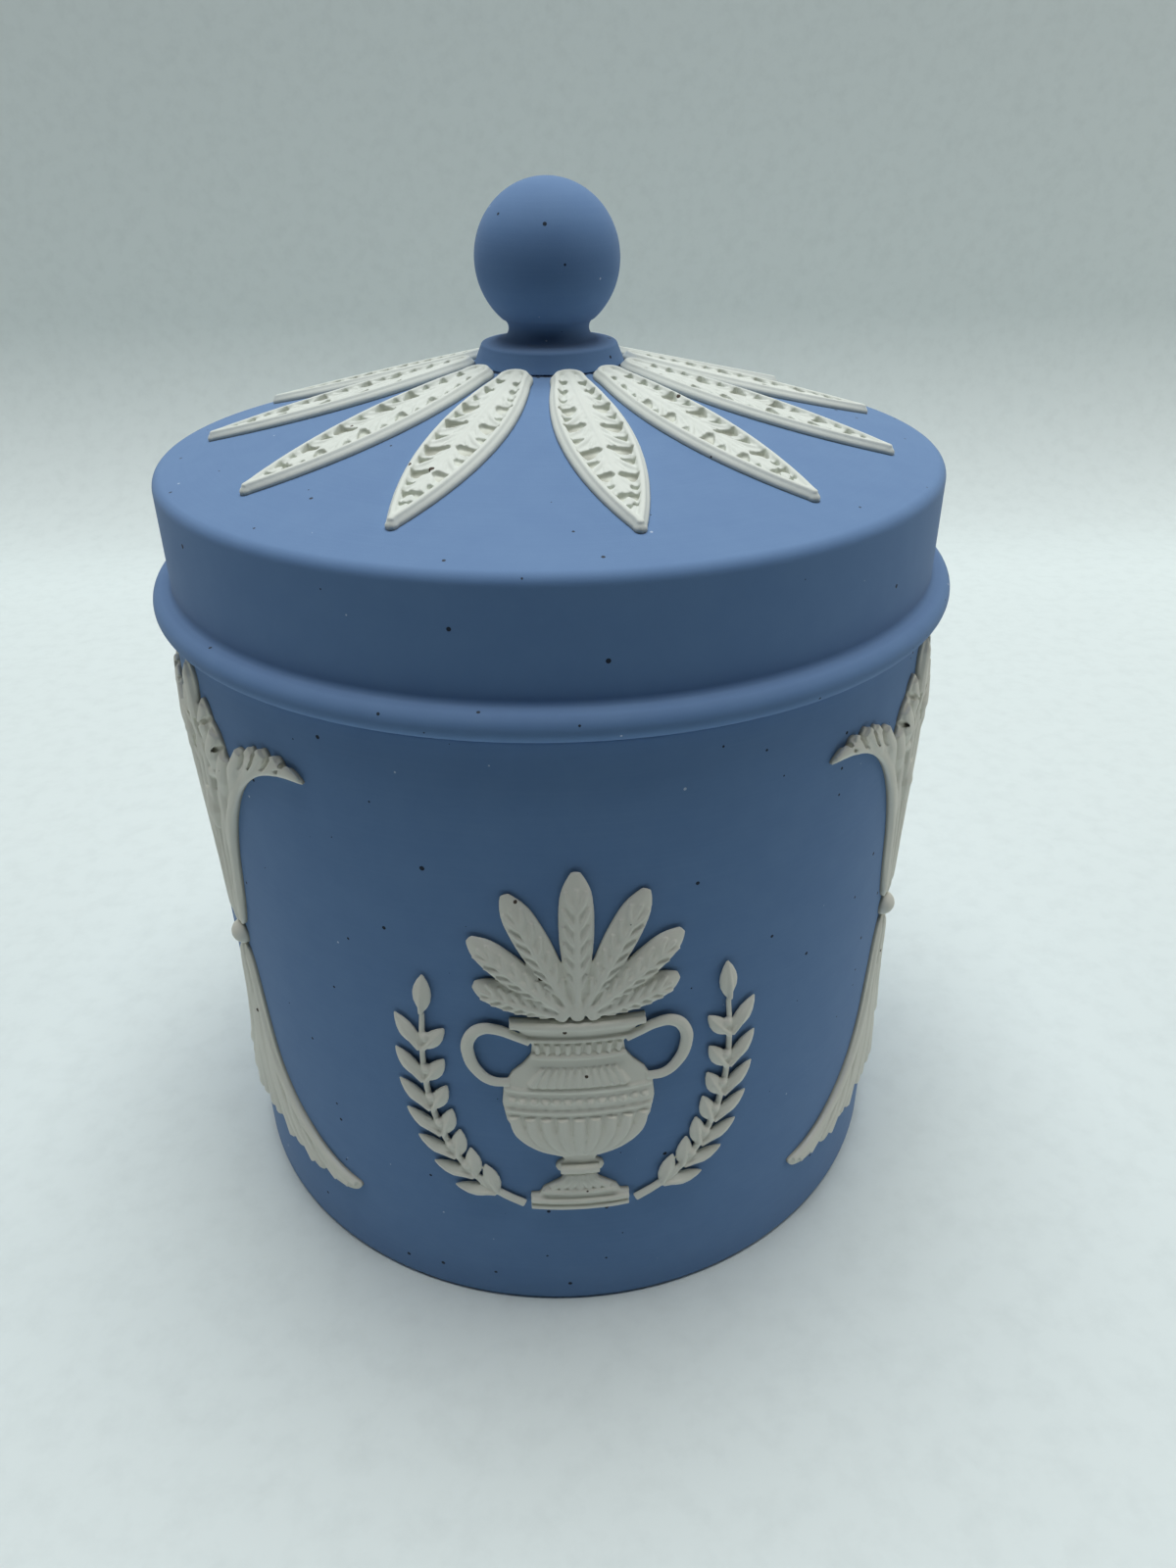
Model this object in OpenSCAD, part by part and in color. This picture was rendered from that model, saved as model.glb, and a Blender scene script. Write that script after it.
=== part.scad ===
// Round lidded box of matt blue stoneware with white moulded ornaments.
// Millimetres, +Z up. The origin is the middle of the underside, and the front faces -Y.
// Ornaments on the wall are drawn flat, as width round the wall and height, and then wrapped round it.

/* [Jar] */
// Outside radius of the jar
jar_r = 52.1; // [48:0.1:58]
// Height of the ledge that carries the lid
ledge_z = 91.3; // [84:0.1:110]
// Thickness of the jar's wall
jar_wall = 4.6; // [3.5:0.1:6]
// Thickness of the jar's floor above its recess
floor_t = 4.5; // [3:0.1:8]
// Rounding between the floor and the wall inside
floor_round = 5; // [2:0.1:8]
// Rounding of the outside edge at the foot
foot_round = 0.9; // [0.4:0.1:2]
// Width of the flat ring that the jar stands on
foot_ring_w = 7; // [4:0.1:10]
// Depth of the recess inside that ring
foot_recess = 1.2; // [0.6:0.1:2]
// Height of the standing collar above the ledge
collar_h = 8; // [5:0.1:12]
// Thickness of the standing collar
collar_t = 3; // [2:0.1:4]
// Height of the sloping step inside, under the collar
step_h = 6; // [4:0.1:9]
// Depth of that step's lower end under the ledge
step_drop = 11; // [10:0.1:16]
// Rounding of the rim and of the collar's edges
rim_round = 0.6; // [0.3:0.1:0.9]

/* [Lid] */
// How far the lid's skirt stands in from the jar's wall
skirt_inset = 0.7; // [0.3:0.1:2]
// Height of the lid's shoulder above the ledge
skirt_h = 17.3; // [14:0.1:24]
// Thickness of the lid
lid_wall = 3.4; // [2.5:0.1:5]
// Gap between the standing collar and the inside of the lid
lid_play = 0.4; // [0.3:0.05:0.8]
// Slope of the lid's top, in degrees
lid_slope = 14; // [10:0.5:18]
// Rounding of the lid's shoulder, outside and inside
shoulder_round = 1.5; // [0.8:0.1:3]
// How far the bead stands out from the skirt
bead_out = 2.6; // [1.8:0.1:4]
// Height of the bead
bead_h = 3.4; // [2.5:0.1:5]
// Radius of the hollow curve over the bead
bead_cove = 0.8; // [0.4:0.1:1.4]

/* [Knob] */
// Radius of the ball
ball_r = 9.1; // [7:0.1:10]
// Height of the ball's middle above the knob's seat
ball_rise = 12.3; // [11.8:0.1:14]
// Radius of the neck at its narrowest
neck_r = 5.15; // [4.2:0.05:6]
// Radius of the hollow curve of the neck
neck_cove = 1.3; // [0.8:0.1:1.8]
// Radius of the knob's foot
foot_r = 9.65; // [8.9:0.05:12]
// Radius of the foot's top edge
foot_top_r = 8.85; // [8.4:0.05:8.9]
// Height of the foot's side
foot_h = 2.6; // [2:0.1:2.9]
// Rounding of the foot's top edge
foot_edge = 0.5; // [0.2:0.05:0.8]

/* [Leaves on the lid] */
// Gap between a leaf's root and the knob's foot
leaf_gap = 0.6; // [0.4:0.1:2]
// Length of a leaf, seen from above
leaf_l = 34.4; // [28:0.1:36]
// Width of a leaf at its widest
leaf_w = 8.7; // [6:0.1:9]
// Width of a leaf at its root
leaf_root_w = 2.8; // [2:0.1:3.5]
// Thickness of a leaf at its raised edge
leaf_t = 1.1; // [0.9:0.05:1.6]
// How far the field inside the edge lies under it
leaf_sink = 0.25; // [0.1:0.05:0.35]
// Width of the raised edge
leaf_edge = 0.65; // [0.4:0.05:0.9]
// Thickness left under the pits beside the edge
pit_floor = 0.4; // [0.2:0.05:0.5]
// Length of the largest pits, in from the edge
pit_l = 2.1; // [1:0.1:2.3]
// Width of the largest pits
pit_w = 1; // [0.6:0.1:1.3]

/* [Ornaments on the wall] */
// Turn of the three panels round the jar, in degrees
relief_turn = 1.7; // [-20:0.1:20]
// Thickness of the ornaments
relief_t = 1.1; // [0.8:0.05:1.3]
// Height of their ribs over that thickness
rib_t = 0.6; // [0.3:0.05:0.7]
// Width of their ribs
rib_w = 1.5; // [1:0.1:2]
// Distance from the ledge down to the upper acanthus
acanthus_gap = 0.9; // [0.7:0.1:3]
// Height of the upper acanthus
upper_h = 39.6; // [34:0.1:40]
// Half the spread of the upper acanthus, round the wall
upper_w = 22.5; // [18:0.1:23]
// Height of the small ball between the two acanthus sprigs
drop_h = 3.6; // [2.6:0.1:3.7]
// Height of the lower acanthus
lower_h = 35.2; // [30:0.1:36]
// Half the spread of the lower acanthus, round the wall
lower_w = 22.7; // [18:0.1:23]
// Height of the urn's plinth above the jar's underside
panel_z = 20.5; // [14:0.1:22]
// Height of the urn
urn_h = 33; // [28:0.1:34]
// Half the width of the urn's bowl
urn_w = 9.6; // [8:0.1:10]
// Width of the urn's handles and bands
handle_w = 1.5; // [1:0.1:2]
// Height of the leaf fan over the urn
fan_h = 21.5; // [16:0.1:22]
// Gap between the urn and the leaf fan
fan_gap = 0.3; // [0.2:0.1:1]
// Width of a leaf of the fan
fan_leaf_w = 3.6; // [2.4:0.1:4]
// Reach of each laurel branch, round the wall from the panel's middle
branch_w = 20.5; // [19.5:0.1:21]
// Height of each laurel branch
branch_h = 35; // [30:0.1:38]
// Length of a laurel leaf
laurel_l = 6.2; // [4:0.1:6.5]
// Width of a laurel leaf
laurel_w = 2.4; // [1.6:0.1:2.6]
// Width of a laurel branch at its foot
twig_w = 1.3; // [0.8:0.1:1.6]

/* [Hidden] */
LEAVES = 12;
SETS = 3;

blue = "#6f8db5";
white = "#dfe4e0";
$fn = 96;
// The wall is rounder, because the ornaments on it are thin
wall_fn = 360;
// Steps in a rounded edge, and in one side of a lid leaf
edge_steps = 6;
leaf_steps = 12;
// Overrun of every cut past the face that it opens
over = 1;

// The leaves are set by hand, so each stands off its even place by a few degrees
leaf_turns = [11.5, 40, 70, 99, 128.5, 157.5, 186.5, 215.5, 245, 274, 309, 338];
leaf_peak_share = 0.44;
// Pits along one side of a lid leaf: share of its length, and share of the largest pit's size
pit_shares = [
  [0.1, 0.45], [0.17, 0.5], [0.225, 0.4], [0.29, 0.8], [0.35, 0.45], [0.414, 0.9], [0.487, 0.5],
  [0.574, 1], [0.638, 0.5], [0.728, 0.8], [0.79, 0.35], [0.84, 0.6],
];
pit_lean_share = 0.45;
vein_shares = [0.26, 0.38, 0.53, 0.68, 0.81];
vein_rise_share = 0.09;
vein_tip_share = 0.35;
// The ribs of a sprig narrow to this share of their width
rib_tip_share = 0.35;
// How deep the curve of the neck bites into the ball, as a share of the neck's curve
knob_bite_share = 0.08;

// Half outlines, ribs and eye of the acanthus, as shares of its half spread and of its height
upper_shares = [
  [0, 1], [0.055, 0.97], [0.095, 0.925], [0.085, 0.895], [0.165, 0.885], [0.205, 0.845],
  [0.195, 0.815], [0.275, 0.805], [0.315, 0.755], [0.325, 0.705], [0.405, 0.74], [0.46, 0.785],
  [0.525, 0.765], [0.59, 0.815], [0.63, 0.812], [0.66, 0.785], [0.7, 0.825], [0.74, 0.825],
  [0.77, 0.796], [0.83, 0.82], [0.91, 0.807], [0.97, 0.785], [1, 0.76], [0.9, 0.762], [0.77, 0.752],
  [0.645, 0.728], [0.52, 0.676], [0.415, 0.61], [0.332, 0.53], [0.265, 0.445], [0.217, 0.342],
  [0.186, 0.231], [0.155, 0.131], [0.115, 0.045], [0.06, 0.005], [0, 0],
];
eye_shares = [[0, 0.6], [0.025, 0.58], [0.034, 0.55], [0.025, 0.515], [0, 0.49]];
upper_rib_shares = [
  [[0, 0.04], [0, 0.25], [0, 0.47]],
  [[0, 0.62], [0, 0.8], [0, 0.95]],
  [[0.06, 0.1], [0.1, 0.3], [0.16, 0.46], [0.28, 0.6], [0.48, 0.705], [0.72, 0.772], [0.94, 0.778]],
  [[0.02, 0.62], [0.07, 0.76], [0.14, 0.855]],
  [[0.05, 0.58], [0.14, 0.69], [0.25, 0.775]],
  [[0.3, 0.62], [0.37, 0.68], [0.44, 0.755]],
  [[0.44, 0.69], [0.53, 0.74], [0.6, 0.795]],
  [[0.56, 0.735], [0.64, 0.765], [0.71, 0.81]],
  [[0.7, 0.768], [0.77, 0.778], [0.84, 0.808]],
];
lower_shares = [
  [0, 1], [0.055, 0.993], [0.106, 0.93], [0.132, 0.852], [0.159, 0.753], [0.189, 0.636],
  [0.233, 0.517], [0.308, 0.409], [0.405, 0.318], [0.515, 0.247], [0.643, 0.179], [0.767, 0.134],
  [0.894, 0.105], [1, 0.094], [0.952, 0.048], [0.87, 0.02], [0.806, 0.045], [0.75, 0], [0.7, 0],
  [0.67, 0.025], [0.62, 0], [0.565, 0.004], [0.529, 0.034], [0.48, 0.02], [0.42, 0.03],
  [0.388, 0.068], [0.34, 0.055], [0.285, 0.065], [0.238, 0.125], [0.19, 0.095], [0.135, 0.1],
  [0.097, 0.13], [0.05, 0.085], [0, 0.075],
];
lower_rib_shares = [
  [[0, 0.95], [0, 0.5], [0, 0.12]],
  [[0.035, 0.84], [0.1, 0.6], [0.2, 0.4], [0.38, 0.25], [0.62, 0.14], [0.92, 0.072]],
  [[0.03, 0.6], [0.1, 0.32], [0.155, 0.12]],
  [[0.15, 0.48], [0.22, 0.26], [0.305, 0.095]],
  [[0.26, 0.33], [0.35, 0.18], [0.44, 0.055]],
  [[0.41, 0.23], [0.51, 0.12], [0.59, 0.03]],
  [[0.58, 0.15], [0.66, 0.09], [0.73, 0.025]],
];

// Half outlines of the urn, its handles and its raised bands, as shares of its half width and height
urn_shares = [
  [0, 1], [0.86, 1], [0.84, 0.965], [0.66, 0.93], [0.58, 0.88], [0.6, 0.83], [0.7, 0.785],
  [0.86, 0.735], [0.97, 0.665], [1, 0.58], [0.95, 0.49], [0.8, 0.4], [0.55, 0.335], [0.26, 0.3],
  [0.2, 0.275], [0.3, 0.255], [0.33, 0.235], [0.3, 0.215], [0.2, 0.2], [0.26, 0.16], [0.5, 0.11],
  [0.56, 0.075], [0.68, 0.07], [0.68, 0], [0, 0],
];
handle_shares = [
  [0.9, 0.69], [1.12, 0.69], [1.3, 0.735], [1.4, 0.81], [1.38, 0.89], [1.22, 0.945], [1, 0.95],
  [0.76, 0.93],
];
band_shares = [[0.6, 0.978], [0.5, 0.83], [0.93, 0.62], [0.2, 0.235], [0.58, 0.035]];
gadroon_count = 3;
gadroon_shares = [[0.05, 0.32], [0.24, 0.37], [0.27, 0.57]];
// Leaves of the fan: angle off upright in degrees, and share of the longest leaf's length
fan_leaves_share = [[0, 1], [24, 0.93], [47, 0.8], [69, 0.62]];
fan_root_share = 0.06;

// A laurel branch, as shares of its reach and height, and its leaves
branch_shares = [[0.36, 0.015], [1.08, 0.2], [0.93, 0.92]];
laurel_pairs = 7;
laurel_spread = 36;
laurel_tip_share = 0.62;
midrib_share = 0.8;

lid_r = jar_r - skirt_inset;
lid_in_r = lid_r - lid_wall;
collar_r = lid_in_r - lid_play;
collar_in_r = collar_r - collar_t;
wall_in_r = jar_r - jar_wall;
shoulder_z = ledge_z + skirt_h;
slope = tan(lid_slope);
seat_z = top_z(foot_r);
knob_bite = neck_cove * knob_bite_share;
leaf_root_r = foot_r + leaf_gap;
upper_foot_z = ledge_z - acanthus_gap - upper_h;
drop_z = upper_foot_z - drop_h / 2;
lower_foot_z = upper_foot_z - drop_h - lower_h;
fan_z = panel_z + urn_h + fan_gap;
midrib_w = rib_w / 2;

// Heights of the lid's sloping top and of its ceiling at a given radius
function top_z(r) = shoulder_z + (lid_r - r) * slope;
function ceiling_z(r) = top_z(r) - lid_wall / cos(lid_slope);
function leaf_name(k) = str("lid_leaf_", k < 10 ? "0" : "", k);
function set_name(name, k) = str(name, "_", k);

// Points of an arc about c, from angle a to angle b
function arc(c, r, a, b, steps = edge_steps) =
  [for (i = [0 : steps]) c + r * [cos(a + (b - a) * i / steps), sin(a + (b - a) * i / steps)]];
// A table of shares as points: x times w, and y times h above z
function sized(table, w, h, z) = [for (p = table) [p.x * w, z + p.y * h]];
function mirrored(points) = [for (p = points) [-p.x, p.y]];
function reversed(points) = [for (i = [len(points) - 1 : -1 : 0]) points[i]];
// A half outline whose first and last points lie on the middle line, closed by its mirror image
function both(points) =
  concat(points, reversed(mirrored([for (i = [1 : len(points) - 2]) points[i]])));
// Flat points wrapped round the wall, as the front view sees them
function wrapped(points) = [for (p = points) [jar_r * sin(p.x / jar_r * 180 / PI), p.y]];

function unit(v) = v / norm(v);
function left_of(v) = [-v.y, v.x];
function toward(a) = [cos(a), sin(a)];
function heading(path, i) = unit(path[min(i + 1, len(path) - 1)] - path[max(i - 1, 0)]);
// Outline of a stroke along a path that narrows from w to w times tip_share
function stroke(path, w, tip_share) = let (
  n = len(path) - 1,
  off = [for (i = [0 : n]) w / 2 * (1 - (1 - tip_share) * i / n) * left_of(heading(path, i))]
) concat(path + off, reversed(path - off));
// A smooth curve from a to c that bends towards b
function bend(a, b, c, steps = edge_steps) =
  [for (i = [0 : steps]) let (s = i / steps) (1 - s) * (1 - s) * a + 2 * s * (1 - s) * b + s * s * c];
// Outline of a pointed leaf of length l and width w, from p towards angle a
function blade(p, a, l, w, steps = edge_steps) = let (
  mid = [for (i = [0 : steps]) p + l * i / steps * toward(a)],
  off = [for (i = [0 : steps]) w / 2 * sin(180 * i / steps) * left_of(toward(a))]
) concat(mid + off, [for (i = [steps - 1 : -1 : 1]) mid[i] - off[i]]);
function midrib(p, a, l) = stroke([p, p + midrib_share * l * toward(a)], midrib_w, rib_tip_share);

module turned(points) {
  rotate_extrude() polygon(points);
}

module jar_body() {
  color(blue) turned(concat(
    [[0, foot_recess], [jar_r - foot_ring_w, foot_recess], [jar_r - foot_ring_w + foot_recess, 0]],
    arc([jar_r - foot_round, foot_round], foot_round, -90, 0),
    arc([jar_r - rim_round, ledge_z - rim_round], rim_round, 0, 90),
    [[collar_r, ledge_z]],
    arc([collar_r - rim_round, ledge_z + collar_h - rim_round], rim_round, 0, 90),
    arc([collar_in_r + rim_round, ledge_z + collar_h - rim_round], rim_round, 90, 180),
    [[collar_in_r, ledge_z - step_drop + step_h], [wall_in_r, ledge_z - step_drop]],
    arc([wall_in_r - floor_round, foot_recess + floor_t + floor_round], floor_round, 0, -90),
    [[0, foot_recess + floor_t]]
  ));
}

module lid_shell() {
  bead = [lid_r + bead_out - bead_h / 2, ledge_z + bead_h / 2];
  outer = lid_r - shoulder_round;
  inner = lid_in_r - shoulder_round;
  drop = shoulder_round / cos(lid_slope);
  color(blue) turned(concat(
    [[0, seat_z], [foot_r, seat_z]],
    arc([outer, top_z(outer) - drop], shoulder_round, 90 - lid_slope, 0),
    arc([lid_r + bead_cove, ledge_z + bead_h + bead_cove], bead_cove, 180, 240),
    arc(bead, bead_h / 2, 70, -70, 2 * edge_steps),
    [[bead.x, ledge_z]],
    arc([lid_in_r + rim_round, ledge_z + rim_round], rim_round, 270, 180),
    arc([inner, ceiling_z(inner) - drop], shoulder_round, 0, 90 - lid_slope),
    [[foot_r, ceiling_z(foot_r)], [0, ceiling_z(foot_r)]]
  ));
}

// Ball, hollow neck and round foot, turned in one and stuck on the lid's seat
module knob() {
  ball_z = seat_z + ball_rise;
  cove_x = neck_r + neck_cove;
  cove_z = ball_z - sqrt(pow(ball_r + neck_cove - knob_bite, 2) - pow(cove_x, 2));
  color(blue) union() {
    translate([0, 0, ball_z]) sphere(r = ball_r);
    turned(concat(
      [[0, ball_z]],
      arc([cove_x, cove_z], neck_cove, 110, 262, 2 * edge_steps),
      arc([foot_top_r - foot_edge, seat_z + foot_h - foot_edge], foot_edge, 82, 10),
      [[foot_r, seat_z], [0, seat_z]]
    ));
  }
}

// Half the width of a lid leaf at share s of its length
function leaf_half(s) = s > leaf_peak_share
  ? leaf_w / 2 * (1 - pow((s - leaf_peak_share) / (1 - leaf_peak_share), 2))
  : leaf_w / 2 - (leaf_w - leaf_root_w) / 2 * pow((leaf_peak_share - s) / leaf_peak_share, 2);
// A point of a lid leaf: share s along it, and the distance in from its edge
function leaf_point(s, inset) = [leaf_half(s) - inset, -(leaf_root_r + s * leaf_l)];
function leaf_stem(s) = [0, -(leaf_root_r + s * leaf_l)];
function leaf_side(inset, from, to) =
  [for (i = [0 : leaf_steps]) leaf_point(from + (to - from) * i / leaf_steps, inset)];
function leaf_outline(side) = concat(side, [for (i = [leaf_steps - 1 : -1 : 0]) [-side[i].x, side[i].y]]);
function leaf_outside() = leaf_outline(leaf_side(0, 0, 1));
function leaf_inside() = leaf_outline(leaf_side(
  leaf_edge,
  leaf_edge / leaf_l,
  leaf_peak_share + (1 - leaf_peak_share) * sqrt(1 - 2 * leaf_edge / leaf_w)
));
// A pit beside the leaf's edge, wide at the edge and drawn in towards the stem and the root
function pit(s, size) = let (
  half = pit_w * size / 2,
  near = leaf_point(s - half / leaf_l, leaf_edge),
  far = leaf_point(s + half / leaf_l, leaf_edge)
) [near, far, near + pit_l * size * [-1, pit_lean_share]];
// A vein from the stem out to the leaf's edge, between two pits
function vein(s) =
  stroke([leaf_stem(s - vein_rise_share), leaf_point(s, leaf_edge)], leaf_edge, vein_tip_share);

// The solid under the lid's sloping top raised by t, measured square to the slope
module under_top(t) {
  lift = t / cos(lid_slope);
  turned([[0, ledge_z], [lid_r, ledge_z], [lid_r, top_z(lid_r) + lift], [0, top_z(0) + lift]]);
}

module leaf_layer(t) {
  intersection() {
    translate([0, 0, ledge_z]) linear_extrude(skirt_h + lid_r) children();
    under_top(t);
  }
}

// One moulded leaf: a raised edge and stem, a lower field, and pits beside the edge
module lid_leaf(k) {
  color(white) rotate([0, 0, leaf_turns[k - 1]]) difference() {
    union() {
      leaf_layer(pit_floor) polygon(leaf_outside());
      leaf_layer(leaf_t - leaf_sink) difference() {
        polygon(leaf_outside());
        for (p = pit_shares, side = [0, 1]) mirror([side, 0]) polygon(pit(p.x, p.y));
      }
      leaf_layer(leaf_t) {
        difference() {
          polygon(leaf_outside());
          polygon(leaf_inside());
        }
        polygon(stroke([leaf_stem(0), leaf_stem(1 - leaf_edge / leaf_w)], 2 * leaf_edge, vein_tip_share));
        for (s = vein_shares, side = [0, 1]) mirror([side, 0]) polygon(vein(s));
      }
    }
    under_top(0);
  }
}

// The solid inside the wall's outer face, raised by t
module under_wall(t) {
  translate([0, 0, -over]) cylinder(r = jar_r + t, h = shoulder_z + 2 * over, $fn = wall_fn);
}

// Clay over the wall up to thickness t, cut to a flat outline
module on_wall(t) {
  intersection() {
    rotate([90, 0, 0]) linear_extrude(jar_r + t + over) children();
    under_wall(t);
  }
}

// A moulded sprig: a ground with ribs over it, its back fitted to the wall
module sprig(k, offset_turn = 0) {
  rotate([0, 0, relief_turn + offset_turn + (k - 1) * 360 / SETS]) difference() {
    union() {
      on_wall(relief_t) children(0);
      on_wall(relief_t + rib_t) children(1);
    }
    under_wall(0);
  }
}

module flat(points) {
  polygon(wrapped(points));
}

// A flat outline and its mirror image
module flat_pair(points) {
  flat(points);
  flat(mirrored(points));
}

module acanthus_upper(k) {
  eye = both(sized(eye_shares, upper_w, upper_h, upper_foot_z));
  color(white) sprig(k, 180 / SETS) {
    difference() {
      flat(both(sized(upper_shares, upper_w, upper_h, upper_foot_z)));
      flat(eye);
    }
    difference() {
      for (rib = upper_rib_shares)
        flat_pair(stroke(sized(rib, upper_w, upper_h, upper_foot_z), rib_w, rib_tip_share));
      flat(eye);
    }
  }
}

module acanthus_lower(k) {
  color(white) sprig(k, 180 / SETS) {
    flat(both(sized(lower_shares, lower_w, lower_h, lower_foot_z)));
    for (rib = lower_rib_shares)
      flat_pair(stroke(sized(rib, lower_w, lower_h, lower_foot_z), rib_w, rib_tip_share));
  }
}

module acanthus_drop(k) {
  color(white) rotate([0, 0, relief_turn + 180 / SETS + (k - 1) * 360 / SETS]) difference() {
    translate([0, -jar_r, drop_z]) sphere(r = drop_h / 2);
    under_wall(0);
  }
}

module urn(k) {
  color(white) sprig(k) {
    union() {
      flat(both(sized(urn_shares, urn_w, urn_h, panel_z)));
      flat_pair(stroke(sized(handle_shares, urn_w, urn_h, panel_z), handle_w, 1));
    }
    union() {
      for (band = band_shares)
        flat(stroke(sized([[-band.x, band.y], band], urn_w, urn_h, panel_z), handle_w, 1));
      for (i = [-gadroon_count : gadroon_count])
        flat(stroke(
          sized([for (p = bend(gadroon_shares[0], gadroon_shares[1], gadroon_shares[2])) [i * p.x, p.y]],
                urn_w, urn_h, panel_z),
          rib_w, 1));
    }
  }
}

module urn_fan(k) {
  root = [0, fan_z];
  color(white) sprig(k) {
    union() {
      for (leaf = fan_leaves_share)
        flat_pair(blade(root + fan_root_share * fan_h * toward(90 - leaf.x), 90 - leaf.x,
                        fan_h * (leaf.y - fan_root_share), fan_leaf_w));
      flat(arc(root, 2 * fan_root_share * fan_h, 0, 180));
    }
    for (leaf = fan_leaves_share)
      flat_pair(midrib(root + fan_root_share * fan_h * toward(90), 90 - leaf.x, fan_h * leaf.y));
  }
}

// Points of a laurel branch, from its foot beside the plinth to its tip
function branch() = let (p = sized(branch_shares, branch_w, branch_h, panel_z))
  bend(p[0], p[1], p[2], laurel_pairs + 1);
// Leaves of a branch: foot, angle and length of each, in pairs and one at the tip
function laurel_leaves() = let (path = branch()) concat(
  [for (i = [1 : laurel_pairs], side = [-1, 1]) let (h = heading(path, i))
    [path[i], atan2(h.y, h.x) + side * laurel_spread, laurel_l]],
  [let (n = laurel_pairs + 1, h = heading(path, n))
    [path[n] - laurel_tip_share * twig_w * h, atan2(h.y, h.x), laurel_l]]
);

// One laurel branch; side is 1 for the right one and -1 for the left one
module laurel(k, side) {
  color(white) sprig(k) {
    mirror([side < 0 ? 1 : 0, 0]) {
      flat(stroke(branch(), twig_w, laurel_tip_share));
      for (leaf = laurel_leaves()) flat(blade(leaf[0], leaf[1], leaf[2], laurel_w));
    }
    mirror([side < 0 ? 1 : 0, 0])
      for (leaf = laurel_leaves()) flat(midrib(leaf[0], leaf[1], leaf[2]));
  }
}

jar_body();
lid_shell();
knob();
for (k = [1 : LEAVES]) lid_leaf(k);
for (k = [1 : SETS]) acanthus_upper(k);
for (k = [1 : SETS]) acanthus_drop(k);
for (k = [1 : SETS]) acanthus_lower(k);
for (k = [1 : SETS]) urn(k);
for (k = [1 : SETS]) urn_fan(k);
for (k = [1 : SETS]) laurel(k, -1);
for (k = [1 : SETS]) laurel(k, 1);
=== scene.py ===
"""Looks of a round lidded box in matt blue stoneware, with white moulded ornaments.

The sizes in the classes are millimetres, and Blender works in metres. The front of the box faces -Y.
Every ornament is drawn flat on a board first: x runs across it, z runs up it, and the clay stands out
towards -Y. It is then bent round the wall, or laid on the slope of the lid.
"""

import logging
import math
from collections.abc import Callable, Iterator, Sequence
from contextlib import contextmanager
from dataclasses import dataclass
from enum import Enum
from functools import cached_property

import bmesh
import bpy
from mathutils import Matrix, Vector


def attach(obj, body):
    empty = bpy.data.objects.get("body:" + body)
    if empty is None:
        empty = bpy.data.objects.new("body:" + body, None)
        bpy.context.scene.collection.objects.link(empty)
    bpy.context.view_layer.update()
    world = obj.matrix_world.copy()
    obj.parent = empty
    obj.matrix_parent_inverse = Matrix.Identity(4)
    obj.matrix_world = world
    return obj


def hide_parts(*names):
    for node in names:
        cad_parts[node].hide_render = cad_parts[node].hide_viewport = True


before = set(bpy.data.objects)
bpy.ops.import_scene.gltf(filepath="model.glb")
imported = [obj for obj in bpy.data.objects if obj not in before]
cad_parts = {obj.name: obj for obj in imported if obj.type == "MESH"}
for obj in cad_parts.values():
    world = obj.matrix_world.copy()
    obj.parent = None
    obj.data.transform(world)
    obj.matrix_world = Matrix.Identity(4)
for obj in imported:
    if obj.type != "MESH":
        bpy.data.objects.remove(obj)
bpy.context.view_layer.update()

log = logging.getLogger("lidded_box")

MM = 0.001
MERGE = 0.002 * MM
SETS = 3
JAR = "jar"
LID = "lid"
Flat = tuple[float, float]
Path = tuple[Flat, ...]
Sizes = tuple[float, ...]
Obj = bpy.types.Object
Material = bpy.types.Material
Socket = bpy.types.NodeSocket
Outputs = bpy.types.bpy_prop_collection
Inputs = dict[str | int, object]


# Bench work


def activate(obj: Obj) -> None:
    """Selects one object alone and makes it active.

    Args:
        obj: The object.
    """
    bpy.ops.object.select_all(action="DESELECT")
    obj.select_set(True)
    bpy.context.view_layer.objects.active = obj


@contextmanager
def editing(obj: Obj, selected: bool = False) -> Iterator[None]:
    """Keeps one object in edit mode for the length of a with block.

    Args:
        obj: The object to edit.
        selected: True to start with its whole mesh selected, False to start with nothing.

    Yields:
        Nothing, once the object is ready.
    """
    activate(obj)
    bpy.ops.object.mode_set(mode="EDIT")
    bpy.ops.mesh.select_mode(type="VERT")
    bpy.ops.mesh.select_all(action="SELECT" if selected else "DESELECT")
    yield
    bpy.ops.object.mode_set(mode="OBJECT")


def select_where(obj: Obj, test: Callable[[Vector], bool]) -> None:
    """Selects the vertices of an object in edit mode by their place.

    Args:
        obj: The object that is being edited.
        test: Says of a place, in metres, whether a vertex there is selected.
    """
    mesh = bmesh.from_edit_mesh(obj.data)
    for vert in mesh.verts:
        vert.select_set(test(vert.co))
    mesh.select_flush(True)
    bmesh.update_edit_mesh(obj.data)


def modify(obj: Obj, kind: str, **settings: object) -> None:
    """Adds a modifier with its settings and applies it.

    Args:
        obj: The object to finish.
        kind: Blender's name for the modifier's type.
        **settings: Values for the modifier's own properties.
    """
    activate(obj)
    bpy.ops.object.modifier_add(type=kind)
    modifier = obj.modifiers[-1]
    for name, value in settings.items():
        setattr(modifier, name, value)
    bpy.ops.object.modifier_apply(modifier=modifier.name)


def settle(obj: Obj) -> Obj:
    """Puts an object's place, turn and scale into its mesh.

    Args:
        obj: The object.

    Returns:
        The same object, at the origin.
    """
    activate(obj)
    bpy.ops.object.transform_apply(location=True, rotation=True, scale=True)
    return obj


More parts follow.
